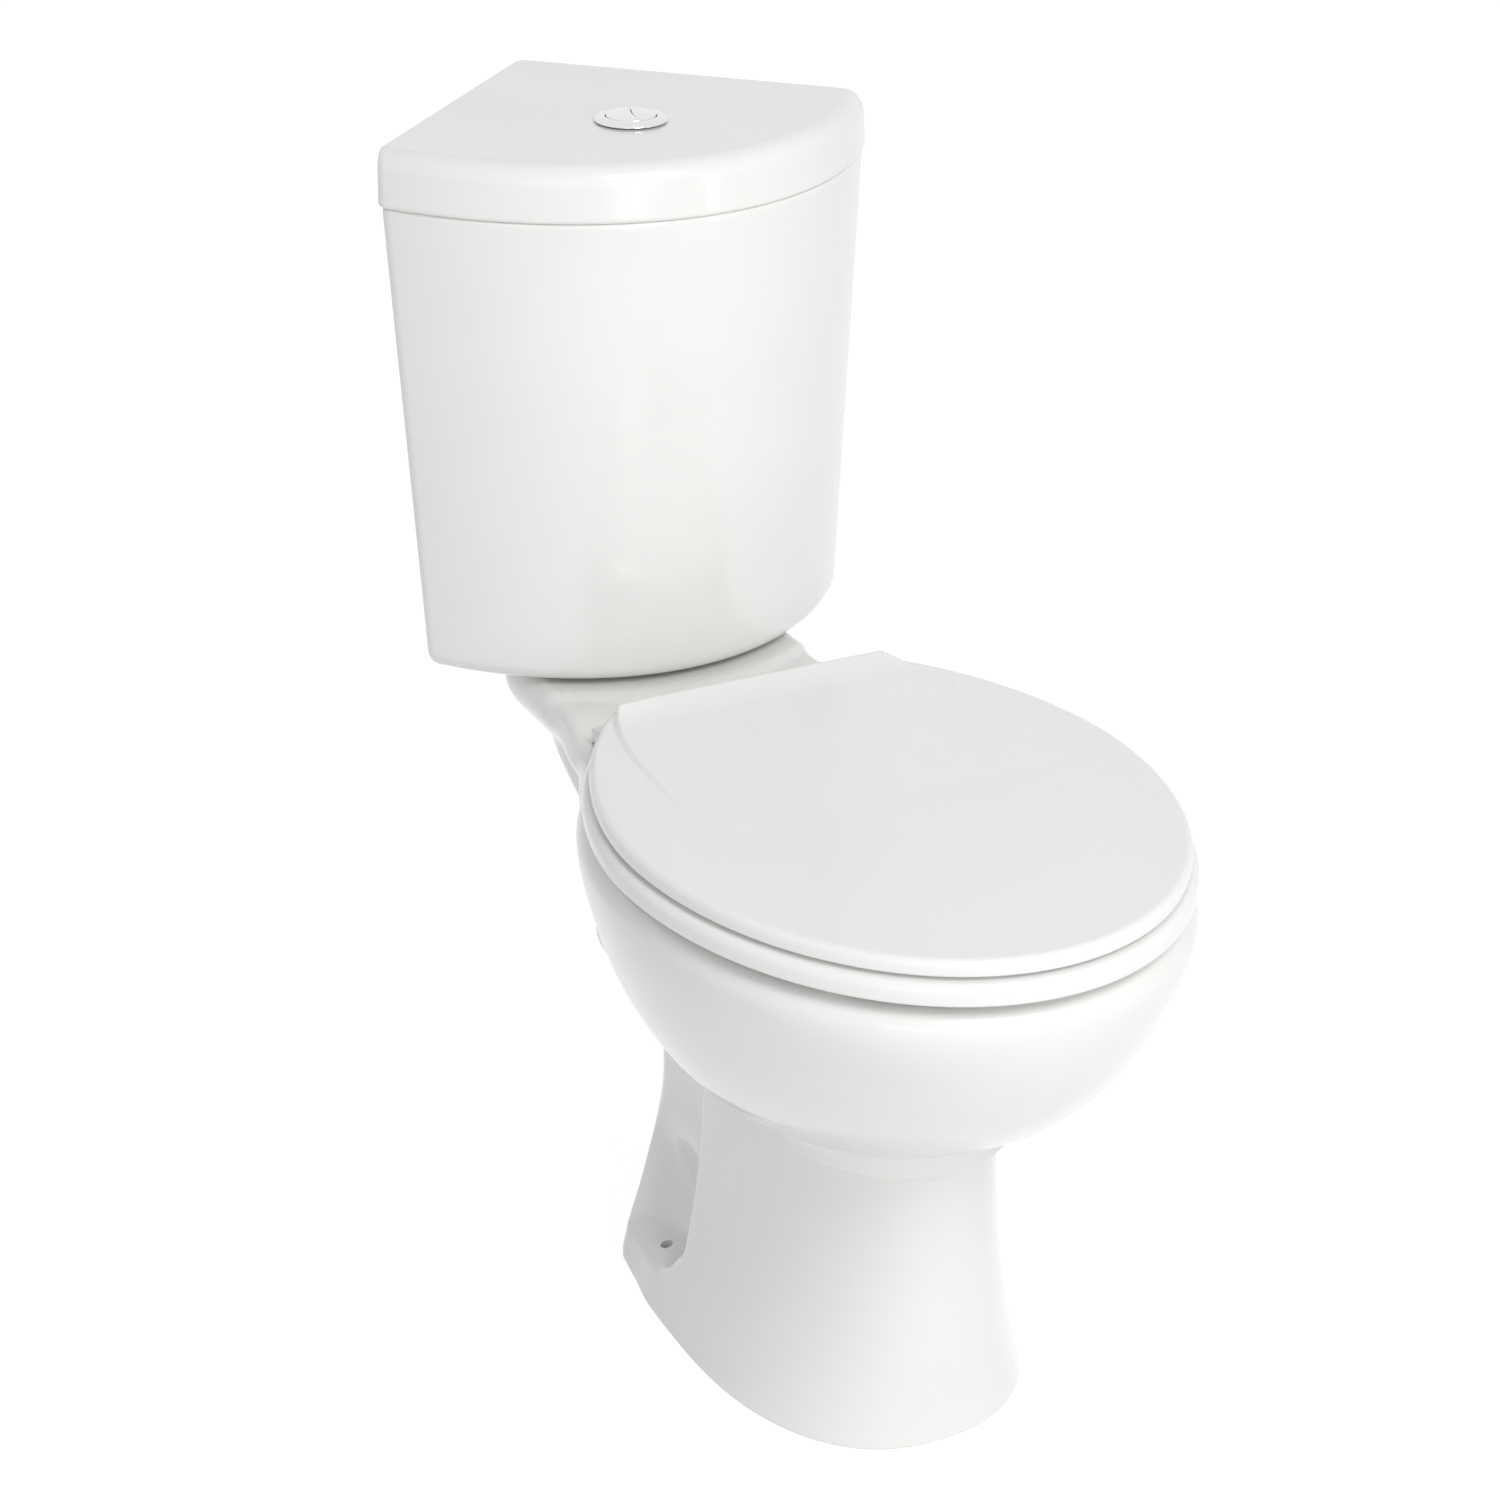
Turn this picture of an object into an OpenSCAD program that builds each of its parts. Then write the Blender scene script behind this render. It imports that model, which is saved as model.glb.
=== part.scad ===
// Close-coupled corner toilet: pan, corner cistern, dual-flush fittings and a two-piece seat.
// Millimetres. X runs across, -Y is the front, +Y points into the room corner, Z is up.
// The origin is on the floor, in the middle of the outline seen from above.

/* [Overall] */
// Distance from the front of the seat to the back of the cistern lid
overall_depth = 800; // [760:5:840]

/* [Pan] */
// Height of the rim above the floor
rim_height = 405; // [385:1:425]
// How far the seat ring stands out over the rim at the sides
rim_set_in = 1; // [0:0.5:4]
// How far the seat ring stands out over the rim at the front
rim_front_set_in = 3; // [1:0.5:6]
// Width of the rim seen from above
rim_width = 44; // [36:1:52]
// Thickness of the ceramic wall
pan_wall = 12; // [9:1:15]
// Height of the collar's lower edge, where the bowl meets the pedestal
collar_height = 213; // [195:1:230]
// Height of the collar band
collar_band = 20; // [12:1:28]
// How far the collar stands out over the pedestal
collar_lip = 6; // [3:1:9]
// Half width of the pedestal under the collar
pedestal_half_width = 89; // [82:1:98]
// Half width of the foot at the floor
foot_half_width = 115.5; // [105:0.5:125]
// Distance from the seat's widest line to the front of the foot
foot_front_reach = 112; // [100:1:122]
// Half width of the trapway column behind the pedestal
column_half_width = 70; // [62:1:78]
// Height of the ledge that the floor screws sit on
ledge_height = 24; // [16:1:32]
// Half width of the platform under the cistern
platform_half_width = 108; // [104:1:122]
// Thickness of the platform plate
platform_plate = 16; // [13:1:20]
// Height of the pad that the cistern stands over
pad_height = 4; // [2:0.5:6]
// Distance between the two floor screw holes
floor_hole_spacing = 174; // [160:1:184]
// Diameter of the floor screw holes
floor_hole_bore = 9; // [7:0.5:12]
// Outer diameter of the outlet spigot
outlet_diameter = 102; // [98:1:106]
// Bore of the outlet spigot
outlet_bore = 84; // [78:1:88]
// Height of the outlet's axis above the floor
outlet_height = 190; // [180:1:195]
// Length of the cone that joins the column to the spigot
outlet_boss = 90; // [70:1:100]
// Y position of the outlet's open end
outlet_end_y = 176; // [160:1:190]
// Bore of the flush inlet under the cistern
inlet_bore = 70; // [66:1:74]

/* [Cistern] */
// Gap between the pan's pad and the cistern, filled by the coupling washer
coupling_gap = 4; // [3:0.5:7]
// Height of the cistern body without its lid
cistern_height = 341; // [300:1:380]
// Half width of the cistern across its front corners at the top
cistern_half_width = 183.5; // [176:0.5:185]
// Half width of the cistern across its front corners at the bottom
cistern_foot_half_width = 164; // [160:1:176]
// How far the curved front bulges out at the top
cistern_bulge = 118; // [104:1:120]
// How far the curved front bulges out at the bottom
cistern_foot_bulge = 98; // [90:1:110]
// Distance that the back corner leans in towards the bottom
cistern_back_lean = 28; // [10:1:34]
// Thickness of the cistern wall
cistern_wall = 11; // [9:1:14]
// Thickness of the cistern floor
cistern_floor = 14; // [12:1:18]
// Distance from the room's corner to the middle of the flush valve
valve_setback = 193.5; // [186:0.5:200]
// Distance between the two cistern bolts
cistern_bolt_spacing = 150; // [140:1:160]
// Diameter of the two wall screw holes
wall_hole_bore = 7; // [6:0.5:9]

/* [Lid] */
// Height of the lid
lid_height = 39; // [34:1:46]
// Half width of the lid across its front corners
lid_half_width = 186; // [185:0.5:190]
// How far the lid's curved front bulges out
lid_bulge = 119; // [108:1:124]
// Radius of the soft roll at the lid's front top edge
lid_roll = 15; // [9:1:18]
// Thickness of the lid's wall and top
lid_wall = 10; // [8:1:12]
// Depth of the locating skirt inside the cistern
lid_skirt = 8; // [5:1:12]

/* [Buttons] */
// Outer diameter of the button bezel
bezel_diameter = 51; // [48:1:60]
// Diameter of the two-part button
button_diameter = 35; // [32:1:38]
// Diameter of the hole in the lid
lid_hole = 40; // [38.5:0.5:42]
// Travel of each flush button
button_travel = 7; // [5:0.5:8]
// Diameter of the push rods under the buttons
rod_diameter = 6; // [4:0.5:7]

/* [Seat] */
// Half width of the seat ring
seat_half_width = 188; // [180:1:189]
// Distance from the seat's widest line to the front of the ring
seat_front_reach = 238; // [230:1:245]
// Thickness of the seat ring
ring_thickness = 17; // [14:1:20]
// Height of the ring's bumpers over the rim
ring_bumper = 7; // [5:0.5:8]
// Half width of the hole through the seat ring
ring_hole_half_width = 108; // [98:1:118]
// Distance from the seat's widest line to the front of the hole through the ring
ring_hole_half_length = 142; // [130:1:150]
// Width of the ring between its hole and its straight back
ring_back_width = 42; // [36:1:50]
// How far the cover is set in from the ring's edge
cover_inset = 5; // [3:0.5:8]
// Thickness of the cover's edge
cover_thickness = 11; // [9:0.5:14]
// Gap between the ring and the cover
cover_gap = 1.5; // [1:0.5:2.5]
// How far the cover's back edge sweeps up
cover_sweep = 7; // [4:0.5:10]
// Distance from the hinge axis to the front of the cistern's foot
hinge_gap = 68.5; // [62:0.5:75]
// Distance from the cover's back edge to the hinge axis
hinge_setback = 20; // [18:0.5:23]
// Height of the hinge axis over the rim
hinge_rise = 8.5; // [8:0.5:10]
// Distance between the two seat fixing studs
stud_spacing = 155; // [145:1:165]
// Diameter of the hinge pins
hinge_pin_diameter = 6; // [5:0.5:7]

/* [Hidden] */

// Colours
CERAMIC = [0.93, 0.94, 0.93];
PLASTIC = [0.95, 0.95, 0.95];
MOULDING = [0.82, 0.86, 0.90];
BLUE = [0.25, 0.45, 0.75];
RUBBER = [0.15, 0.15, 0.15];
CHROME = [0.75, 0.76, 0.78];
BRASS = [0.80, 0.66, 0.35];

// Running fit between a shaft and its bore, on the radius
fit = 0.1;
// Gap between pieces that only pass each other
clear = 0.4;
// Overlap that keeps a cut from leaving a skin
eps = 1;

// Places along Y
front_y = -overall_depth / 2;
seat_y = front_y + seat_front_reach;
lid_apex_y = overall_depth / 2;
apex_round = 8;
apex_y = lid_apex_y + apex_round * (sqrt(2) - 1);
lid_overhang_back = 2;
cistern_apex_y = apex_y - lid_overhang_back * sqrt(2);
foot_apex_y = cistern_apex_y - cistern_back_lean + lid_overhang_back;
foot_ends_y = foot_apex_y - cistern_foot_half_width;
cistern_front_y = foot_ends_y - cistern_foot_bulge;
valve_y = apex_y - valve_setback;
hinge_y = cistern_front_y - hinge_gap;
cover_back_y = hinge_y - hinge_setback;
column_back_y = hinge_y + 6;
floor_hole_y = column_back_y - 70;

// Places along X
rim_half_width = seat_half_width - rim_set_in;
rim_front_reach = seat_front_reach - rim_front_set_in;
bolt_half = cistern_bolt_spacing / 2;
hinge_z = rim_height + hinge_rise;

// Places along Z
pad_z = rim_height + pad_height;
plate_under = rim_height - platform_plate;
cistern_z = pad_z + coupling_gap;
cistern_top = cistern_z + cistern_height;
lid_top = cistern_top + lid_height;
floor_z = cistern_z + cistern_floor;
ring_z = rim_height + ring_bumper;
cover_z = ring_z + ring_thickness + cover_gap;

function mix(a, b, t) = a + (b - a) * t;
function unit(t) = max(0, min(1, t));
function ease(t) = unit(t) * unit(t) * (3 - 2 * unit(t));
function soft_max(a, b, k) =
    let (h = unit(0.5 + 0.5 * (a - b) / k)) mix(b, a, h) + k * h * (1 - h);

// A closed solid through a stack of rings with the same number of points
module loft(rings) {
    n = len(rings[0]);
    m = len(rings);
    low = [for (k = [0:2]) [for (p = rings[0]) p[k]] * [for (p = rings[0]) 1] / n];
    high = [for (k = [0:2]) [for (p = rings[m - 1]) p[k]] * [for (p = rings[0]) 1] / n];
    points = concat([for (r = rings) each r], [low, high]);
    sides = [for (j = [0:m - 2]) for (i = [0:n - 1]) each
        [[j * n + i, (j + 1) * n + i, j * n + (i + 1) % n],
         [j * n + (i + 1) % n, (j + 1) * n + i, (j + 1) * n + (i + 1) % n]]];
    bottom = [for (i = [0:n - 1]) [m * n, i, (i + 1) % n]];
    top = [for (i = [0:n - 1]) [m * n + 1, (m - 1) * n + (i + 1) % n, (m - 1) * n + i]];
    polyhedron(points = points, faces = concat(sides, bottom, top), convexity = 8);
}

module rod(x, y, z0, z1, d) {
    translate([x, y, z0]) cylinder(h = z1 - z0, d = d, $fn = 48);
}

module tube(x, y, z0, z1, d, bore) {
    translate([x, y, z0]) difference() {
        cylinder(h = z1 - z0, d = d, $fn = 48);
        translate([0, 0, -eps]) cylinder(h = z1 - z0 + 2 * eps, d = bore, $fn = 48);
    }
}

// ---- Pan -------------------------------------------------------------------

// How far the bowl has opened out, from 0 at the collar to 1 under the rim
bowl_z0 = collar_height + collar_band - 2;
bowl_z1 = rim_height - 17;
function bowl_open(z) = pow(1 - pow(1 - unit((z - bowl_z0) / (bowl_z1 - bowl_z0)), 1.6), 0.62);
rim_round = 15;
function rim_in(z) = let (d = max(0, z - (rim_height - rim_round)))
    rim_round - sqrt(max(0, rim_round * rim_round - d * d));

collar_half = pedestal_half_width + collar_lip;
collar_reach = foot_front_reach - 5 + collar_lip;
function bowl_half(z) = mix(collar_half, rim_half_width, bowl_open(z)) - rim_in(z);
function bowl_front(z) = mix(collar_reach, rim_front_reach, pow(bowl_open(z), 1.12)) - rim_in(z);
function bowl_back(z) = mix(bowl_foot_back, rim_back, bowl_open(z));
rim_back = 235;
bowl_foot_back = 255;

// Half width of an egg-shaped section, at y from its widest line
function egg(y, half, front, back, n) =
    let (r = abs(y) / (y < 0 ? front : back)) r >= 1 ? 0 : half * pow(1 - pow(r, n), 1 / n);

// Where each level of the pan ends at the back
throat_z = 240;
platform_back_y = valve_y + 52;
function pan_back(z) = mix(column_back_y, platform_back_y, ease((z - throat_z + 5) / 105));

// Half width of the column, neck and platform behind the bowl; the platform widens towards the hinges
platform_flare = 14;
platform_taper_run = 80;
neck_start_y = seat_y + 66;
neck_run = 109;
function rear_half(y, z) =
    let (wide = platform_half_width + platform_flare * (1 - ease((y - hinge_y) / platform_taper_run)),
         body = mix(column_half_width, wide, ease((z - rim_height + 72) / 60)),
         end = pan_back(z), run = mix(26, 70, ease((z - throat_z + 5) / 95)),
         round = y > end - run ? sqrt(max(0, 1 - pow((y - end + run) / run, 2))) : 1)
    (body - rim_in(z) / 2) * pow(round, 0.8) * ease((y - neck_start_y) / neck_run);

// How far the column is hollowed above the ledge, so that a screw and its driver fit beside it
scoop_depth = 24;
scoop_half_length = 42;
function scoop(y, z) = scoop_depth * ease((z - ledge_height) / 9) * (1 - ease((z - 65) / 60))
    * max(0, 1 - pow((y - floor_hole_y) / scoop_half_length, 2));

// Half width of the pedestal and the foot, with the recess for the floor screws
function foot_half(y, z) =
    let (flare = pow(1 - unit(z / (collar_height + 60)), 2.6),
         half = mix(pedestal_half_width - 4, foot_half_width, flare),
         front = mix(foot_front_reach - 6, foot_front_reach, flare),
         shell = egg(y - seat_y - 62, half, front + 62, 260, mix(2.1, 2.33, flare)),
         ledge = 1 - ease((z - ledge_height) / 22),
         crease = column_back_y - 128 + 34 * (1 - ease((z - 12) / 50)),
         cut = ease((y - crease) / 22) * (1 - ledge),
         flare_back = 1 - unit(z / 125),
         column = mix(column_half_width, foot_half_width - 14, flare_back) - scoop(y, z),
         side = mix(shell, min(shell, column), cut),
         end = column_back_y, run = 36,
         round = y > end - run ? sqrt(max(0, 1 - pow((y - end + run) / run, 2))) : 1)
    min(side, mix(side, column, ease((y - crease) / 60)) * pow(round, 0.8));

function pan_half(y, z) = z < collar_height ? foot_half(y, z)
    : let (n = mix(1.97, 2.1, ease((z - 340) / 50)),
           blend = mix(32, 41, ease((z - 300) / 80)) * unit((platform_back_y - y) / 60) + 0.01)
      soft_max(egg(y - seat_y, bowl_half(z), bowl_front(z), bowl_back(z), n), rear_half(y, z), blend);
function pan_front(z) = z < collar_height
    ? seat_y - mix(foot_front_reach - 6, foot_front_reach, pow(1 - unit(z / (collar_height + 60)), 2.6))
    : seat_y - bowl_front(z);

pan_levels = [0, 3, 10, 18, 24, 29, 35, 42, 52, 68, 90, 120, 155, 190, 207, collar_height - 1,
    collar_height, collar_height + 3, collar_height + collar_band - 4, collar_height + collar_band,
    240, 250, 262, 276, 290, 304, 318, 332, 346, 360, 374, 386, 392, 397, 401, 403.6, 405];
levels_rim = 405;
pan_steps = 32;
function pan_ring(z) =
    let (y0 = pan_front(z), y1 = pan_back(z))
    concat([for (i = [0:pan_steps]) let (y = mix(y0, y1, (1 - cos(180 * i / pan_steps)) / 2))
                [pan_half(y, z), y, z]],
           [for (i = [1:pan_steps - 1]) let (y = mix(y1, y0, (1 - cos(180 * i / pan_steps)) / 2))
                [-pan_half(y, z), y, z]]);

// Inside of the bowl: under the rim it follows the outside, below that it narrows to the sump
sump_y = seat_y - 4;
sump_z = 62;
sump_half = 40;
inner_half = rim_half_width - rim_width;
inner_front = rim_front_reach - rim_width;
inner_back = hinge_y - 78 - seat_y;
function bowl_ring(z, half, front, back, yc) = [for (a = [0:7.5:359]) let (c = cos(a), s = sin(a))
    [half * sign(c) * pow(abs(c), 0.97), yc + (s < 0 ? front : back) * sign(s) * pow(abs(s), 0.97), z]];
under_rim = 28;
throat_back = inner_back - 28;
function bowl_inner(z) =
    let (u = max(z, throat_z), k = pow(unit((throat_z - z) / (throat_z - 118)), 0.7),
         back = mix(throat_back, inner_back + 8, (u - throat_z) / (rim_height - 50 - throat_z)))
    bowl_ring(z, mix(bowl_half(u) - under_rim, sump_half, k), mix(bowl_front(u) - under_rim, sump_half, k),
              mix(back, sump_half, k), mix(seat_y, sump_y, k));

module bowl_cavity() {
    loft(concat(
        [for (z = [sump_z, sump_z + 3]) let (r = sump_half - (z == sump_z ? 8 : 2))
            bowl_ring(z, r, r, r, sump_y)],
        [for (z = [sump_z + 8, 95, 118, 140, 165, 190, 215, 240, 265, 290, 315, 335, 350])
            bowl_inner(z)],
        [for (z = [358, rim_height - 5]) bowl_ring(z, inner_half, inner_front, inner_back, seat_y)],
        [bowl_ring(rim_height, inner_half + 3, inner_front + 3, inner_back + 3, seat_y),
         bowl_ring(rim_height + eps, inner_half + 3, inner_front + 3, inner_back + 3, seat_y)]));
}

// Hollow of the pedestal, open to the floor
function hollow_ring(z) =
    let (y0 = pan_front(z) + pan_wall, y1 = column_back_y - 8, n = 14)
    concat([for (i = [0:n]) let (y = mix(y0, y1, (1 - cos(180 * i / n)) / 2))
                [i == 0 || i == n ? 0 : hollow_half(y, z), y, z]],
           [for (i = [1:n - 1]) let (y = mix(y1, y0, (1 - cos(180 * i / n)) / 2))
                [-hollow_half(y, z), y, z]]);
function hollow_half(y, z) = max(0.5, min(foot_half(y, z), foot_half(y, 60)) - pan_wall);

trap_low = [0, seat_y + 40, sump_z + 26];
trap_high = [0, column_back_y - 40, outlet_height + 14];
trap_bore = 66;
trap_run = norm(trap_high - trap_low);
trap_tilt = atan2(trap_high[2] - trap_low[2], trap_high[1] - trap_low[1]);

module along_trap() {
    translate(trap_low) rotate([trap_tilt - 90, 0, 0]) children();
}

module pedestal_hollow() {
    difference() {
        loft([for (z = [-eps, 30, 60, 100, 140, 165]) hollow_ring(z)]);
        translate([0, sump_y, sump_z - pan_wall]) cylinder(h = 130, r1 = sump_half + 8, r2 = 76, $fn = 48);
        along_trap() cylinder(h = trap_run + 20, d = trap_bore + 2 * pan_wall, $fn = 48);
        translate([0, trap_high[1] - 40, outlet_height]) rotate([-90, 0, 0])
            cylinder(h = 100, d = outlet_bore + 2 * pan_wall, $fn = 48);
    }
}

// Space under the platform, open at the back, where the nuts are tightened
module platform_hollow() {
    core = inlet_bore / 2 + pan_wall;
    wide = platform_half_width - 16;
    low = column_half_width - 14;
    difference() {
        translate([0, platform_back_y + 30, 0]) rotate([90, 0, 0])
            linear_extrude(height = platform_back_y + 30 - hinge_y + 26)
            polygon([[-wide, plate_under], [-wide + 5, plate_under - 14], [-low - 12, plate_under - 32],
                     [-low, plate_under - 49], [low, plate_under - 49], [low + 12, plate_under - 32],
                     [wide - 5, plate_under - 14], [wide, plate_under]]);
        rod(0, valve_y, plate_under - 60, plate_under + eps, 2 * core);
        translate([-core, 0, plate_under - 60]) cube([2 * core, valve_y, 60 + eps]);
    }
}

flush_channel_z = rim_height - 50;
flush_channel_d = 36;
outlet_start_y = trap_high[1] - 26;
module pan_passages() {
    rod(0, valve_y, flush_channel_z - flush_channel_d / 2 - 1, pad_z + eps, inlet_bore);
    translate([0, valve_y, flush_channel_z]) rotate([90, 0, 0])
        cylinder(h = valve_y - seat_y - inner_back + 30, d = flush_channel_d, $fn = 48);
    along_trap() cylinder(h = trap_run, d = trap_bore, $fn = 48);
    translate([0, outlet_start_y, outlet_height]) rotate([-90, 0, 0])
        cylinder(h = outlet_end_y - outlet_start_y + eps, d = outlet_bore, $fn = 48);
}

module pan_fixing_holes() {
    for (s = [-1, 1]) {
        translate([s * floor_hole_spacing / 2, floor_hole_y, -eps])
            cylinder(h = 80, d = floor_hole_bore, $fn = 48);
        translate([s * bolt_half, valve_y, plate_under - 3])
            cylinder(h = platform_plate + pad_height + 6, d = 11, $fn = 48);
        translate([s * stud_spacing / 2, hinge_y, plate_under - 3])
            cylinder(h = platform_plate + pad_height + 6, d = 13, $fn = 48);
    }
}

// Raised pad, whose front follows the cistern's curve
module platform_pad() {
    half = platform_half_width - 7;
    back = platform_back_y - 14;
    translate([0, 0, rim_height - eps]) linear_extrude(height = pad_height + eps)
        polygon(concat([for (i = [0:16]) let (x = mix(-half, half, i / 16)) [x, pad_front(x)]],
                       [[half, back - 40], [half - 40, back], [40 - half, back], [-half, back - 40]]));
}
function pad_front(x) = arc_front(x, cistern_foot_half_width, cistern_foot_bulge,
    cistern_arc_foot, foot_ends_y) - 10;

module pan() {
    color(CERAMIC) difference() {
        union() {
            loft([for (z = pan_levels) pan_ring(z * rim_height / levels_rim)]);
            platform_pad();
            translate([0, column_back_y - 60, outlet_height]) rotate([-90, 0, 0])
                cylinder(h = outlet_end_y - column_back_y + 60, d = outlet_diameter, $fn = 64);
            translate([0, column_back_y - 20, outlet_height]) rotate([-90, 0, 0])
                cylinder(h = outlet_boss, d1 = outlet_diameter + 34, d2 = outlet_diameter + 4,
                    $fn = 64);
        }
        bowl_cavity();
        pedestal_hollow();
        platform_hollow();
        pan_passages();
        pan_fixing_holes();
    }
}

// ---- Cistern ---------------------------------------------------------------

cistern_arc = 256;
cistern_arc_foot = 229;

// The curved front is an arc of an ellipse: arc is its half width, ends_y the line of its ends
function arc_front(x, half, bulge, arc, ends_y) =
    let (rise = sqrt(1 - pow(half / arc, 2)), b = bulge / (1 - rise))
    ends_y + b * rise - b * sqrt(max(0, 1 - pow(x / arc, 2)));

// Outline of a corner piece: back sides at 45 degrees, rounded corners and a curved front.
// in_f and in_b draw the front and the back sides inwards.
corner_round = 9;
corner_loss = 0.385 * corner_round;
function corner_outline(half, bulge, arc, apex, in_f, in_b, z, steps = 24) =
    let (h = half + corner_loss - 0.7225 * in_f - 0.557 * in_b, a = apex - sqrt(2) * in_b,
         ends = a - h,
         bl = ends - (apex - half - bulge + in_f), ac = arc - in_f,
         rise = sqrt(1 - pow(h / ac, 2)), slope = bl / (1 - rise) * h / (ac * ac * rise),
         run = norm([1, slope]), r = max(3, corner_round - in_f / 2), hx = h - r / run,
         p0 = [h - r / sqrt(2), ends + r / sqrt(2)], p1 = [h, ends],
         p2 = [hx, arc_front(hx, h, bl, ac, ends)],
         bend = [for (i = [0:4]) let (t = i / 4)
                 p0 * (1 - t) * (1 - t) + p1 * 2 * t * (1 - t) + p2 * t * t])
    concat(
        [for (i = [0:4]) let (t = -45 + 22.5 * i)
            [-apex_round * sin(t), a - apex_round * sqrt(2) + apex_round * cos(t), z]],
        [for (b = bend) [-b[0], b[1], z]],
        [for (i = [1:steps - 1]) let (x = -hx * cos(180 * i / steps))
            [x, arc_front(x, h, bl, ac, ends), z]],
        [for (i = [4:-1:0]) [bend[i][0], bend[i][1], z]]);

// The cistern's outline at height z, drawn in by in_f and in_b
function cistern_ring(z, in_f, in_b) =
    let (t = (z - cistern_z) / cistern_height)
    corner_outline(mix(cistern_foot_half_width, cistern_half_width, t),
        mix(cistern_foot_bulge, cistern_bulge, t), mix(cistern_arc_foot, cistern_arc, t),
        mix(foot_apex_y, cistern_apex_y, t), in_f, in_b, z);

cistern_foot_round = 13;
fill_x = 48;
fill_y = valve_y + 74;

module cistern() {
    color(CERAMIC) difference() {
        loft(concat(
            [for (a = [0:15:90]) let (i = cistern_foot_round * (1 - sin(a)))
                cistern_ring(cistern_z + cistern_foot_round * (1 - cos(a)), i, i * 0.5)],
            [for (a = [0:30:90]) let (i = 3 * (1 - cos(a)))
                cistern_ring(cistern_top - 3 + 3 * sin(a), i, i)]));
        loft([cistern_ring(floor_z, cistern_wall + 4, cistern_wall + 4),
              cistern_ring(floor_z + 2, cistern_wall + 1.5, cistern_wall + 1.5),
              cistern_ring(floor_z + 6, cistern_wall, cistern_wall),
              cistern_ring(cistern_top + eps, cistern_wall, cistern_wall)]);
        rod(0, valve_y, cistern_z - eps, floor_z + eps, 61);
        for (s = [-1, 1]) {
            rod(s * bolt_half, valve_y, cistern_z - eps, floor_z + eps, 11);
            translate([s * 92, cistern_apex_y - 92 - 30, cistern_top - 62])
                rotate([-90, 0, -45 * s]) cylinder(h = 60, d = wall_hole_bore, $fn = 48);
        }
        rod(fill_x, fill_y, cistern_z - eps, floor_z + eps, 22);
    }
}

// ---- Lid -------------------------------------------------------------------

lid_draft = 1.5;
function lid_ring(z, in_f, in_b) =
    corner_outline(lid_half_width, lid_bulge, cistern_arc, apex_y, in_f, in_b, z);

module cistern_lid() {
    seat_in = cistern_wall + 1.5 + lid_overhang_back;
    skirt = 6;
    color(CERAMIC) difference() {
        union() {
            loft(concat(
                [lid_ring(cistern_top, 2, 2), lid_ring(cistern_top + 1, 0.6, 0.6),
                 lid_ring(cistern_top + 3, 0, 0)],
                [for (a = [0:15:90]) let (z = lid_top - lid_roll * (1 - sin(a)),
                        b = max(0, z - lid_top + 2))
                    lid_ring(z, lid_draft + lid_roll * (1 - cos(a)), 2 - sqrt(4 - b * b))]));
            loft([lid_ring(cistern_top - lid_skirt, seat_in + 2, seat_in + 1),
                  lid_ring(cistern_top + 4, seat_in, seat_in)]);
        }
        loft([lid_ring(cistern_top - lid_skirt - eps, seat_in + skirt, seat_in + skirt),
              lid_ring(lid_top - lid_wall - 12, seat_in + skirt, seat_in + skirt),
              lid_ring(lid_top - lid_wall, seat_in + skirt + 10, seat_in + skirt + 6)]);
        rod(0, valve_y, lid_top - lid_wall - eps, lid_top + eps, lid_hole);
    }
}

// ---- Buttons ---------------------------------------------------------------

gasket = 1;
bezel_z = lid_top + gasket;
bezel_rise = 3.5;
sleeve_d = lid_hole - 2;
sleeve_plate = 3;
sleeve_floor_z = lid_top - lid_wall - 20;
button_z = lid_top - button_travel;
button_top = bezel_z + bezel_rise + 1.2;
split_radius = 60;
split_x = 60;
split_y = -13;
rod_offset = 9.5;
cap_z = lid_top - 106;
cap_plate = 6;
nut_grip = 9;

module button_bezel() {
    r = bezel_diameter / 2;
    bore = button_diameter / 2 + clear;
    face = bezel_z + bezel_rise;
    color(CHROME) translate([0, valve_y, 0]) {
        rotate_extrude($fn = 96) polygon([
            [bore, sleeve_floor_z], [sleeve_d / 2, sleeve_floor_z], [sleeve_d / 2, bezel_z],
            [r, bezel_z], [r, bezel_z + 0.8], [r - 1.2, bezel_z + 2], [r - 3.2, bezel_z + 3],
            [r - 5.4, face], [bore + 0.8, face], [bore, face - 0.8]]);
        difference() {
            translate([0, 0, sleeve_floor_z]) cylinder(h = sleeve_plate, d = sleeve_d, $fn = 96);
            for (s = [-1, 1]) translate([s * rod_offset, 0, sleeve_floor_z - eps])
                cylinder(h = sleeve_plate + 2 * eps, d = rod_diameter + 2 * clear, $fn = 48);
        }
    }
}

module bezel_gasket() {
    color(RUBBER) tube(0, valve_y, lid_top, bezel_z, bezel_diameter - 4, sleeve_d + clear);
}

module bezel_nut() {
    z1 = lid_top - lid_wall;
    color(MOULDING) difference() {
        rod(0, valve_y, z1 - nut_grip, z1, sleeve_d + 16);
        rod(0, valve_y, z1 - nut_grip - eps, z1 + eps, sleeve_d);
        for (a = [0:45:315]) translate([0, valve_y, z1 - nut_grip - eps]) rotate([0, 0, a])
            translate([sleeve_d / 2 + 9.5, 0, 0])
            cylinder(h = nut_grip + 2 * eps, d = 6, $fn = 32);
    }
}

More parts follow.
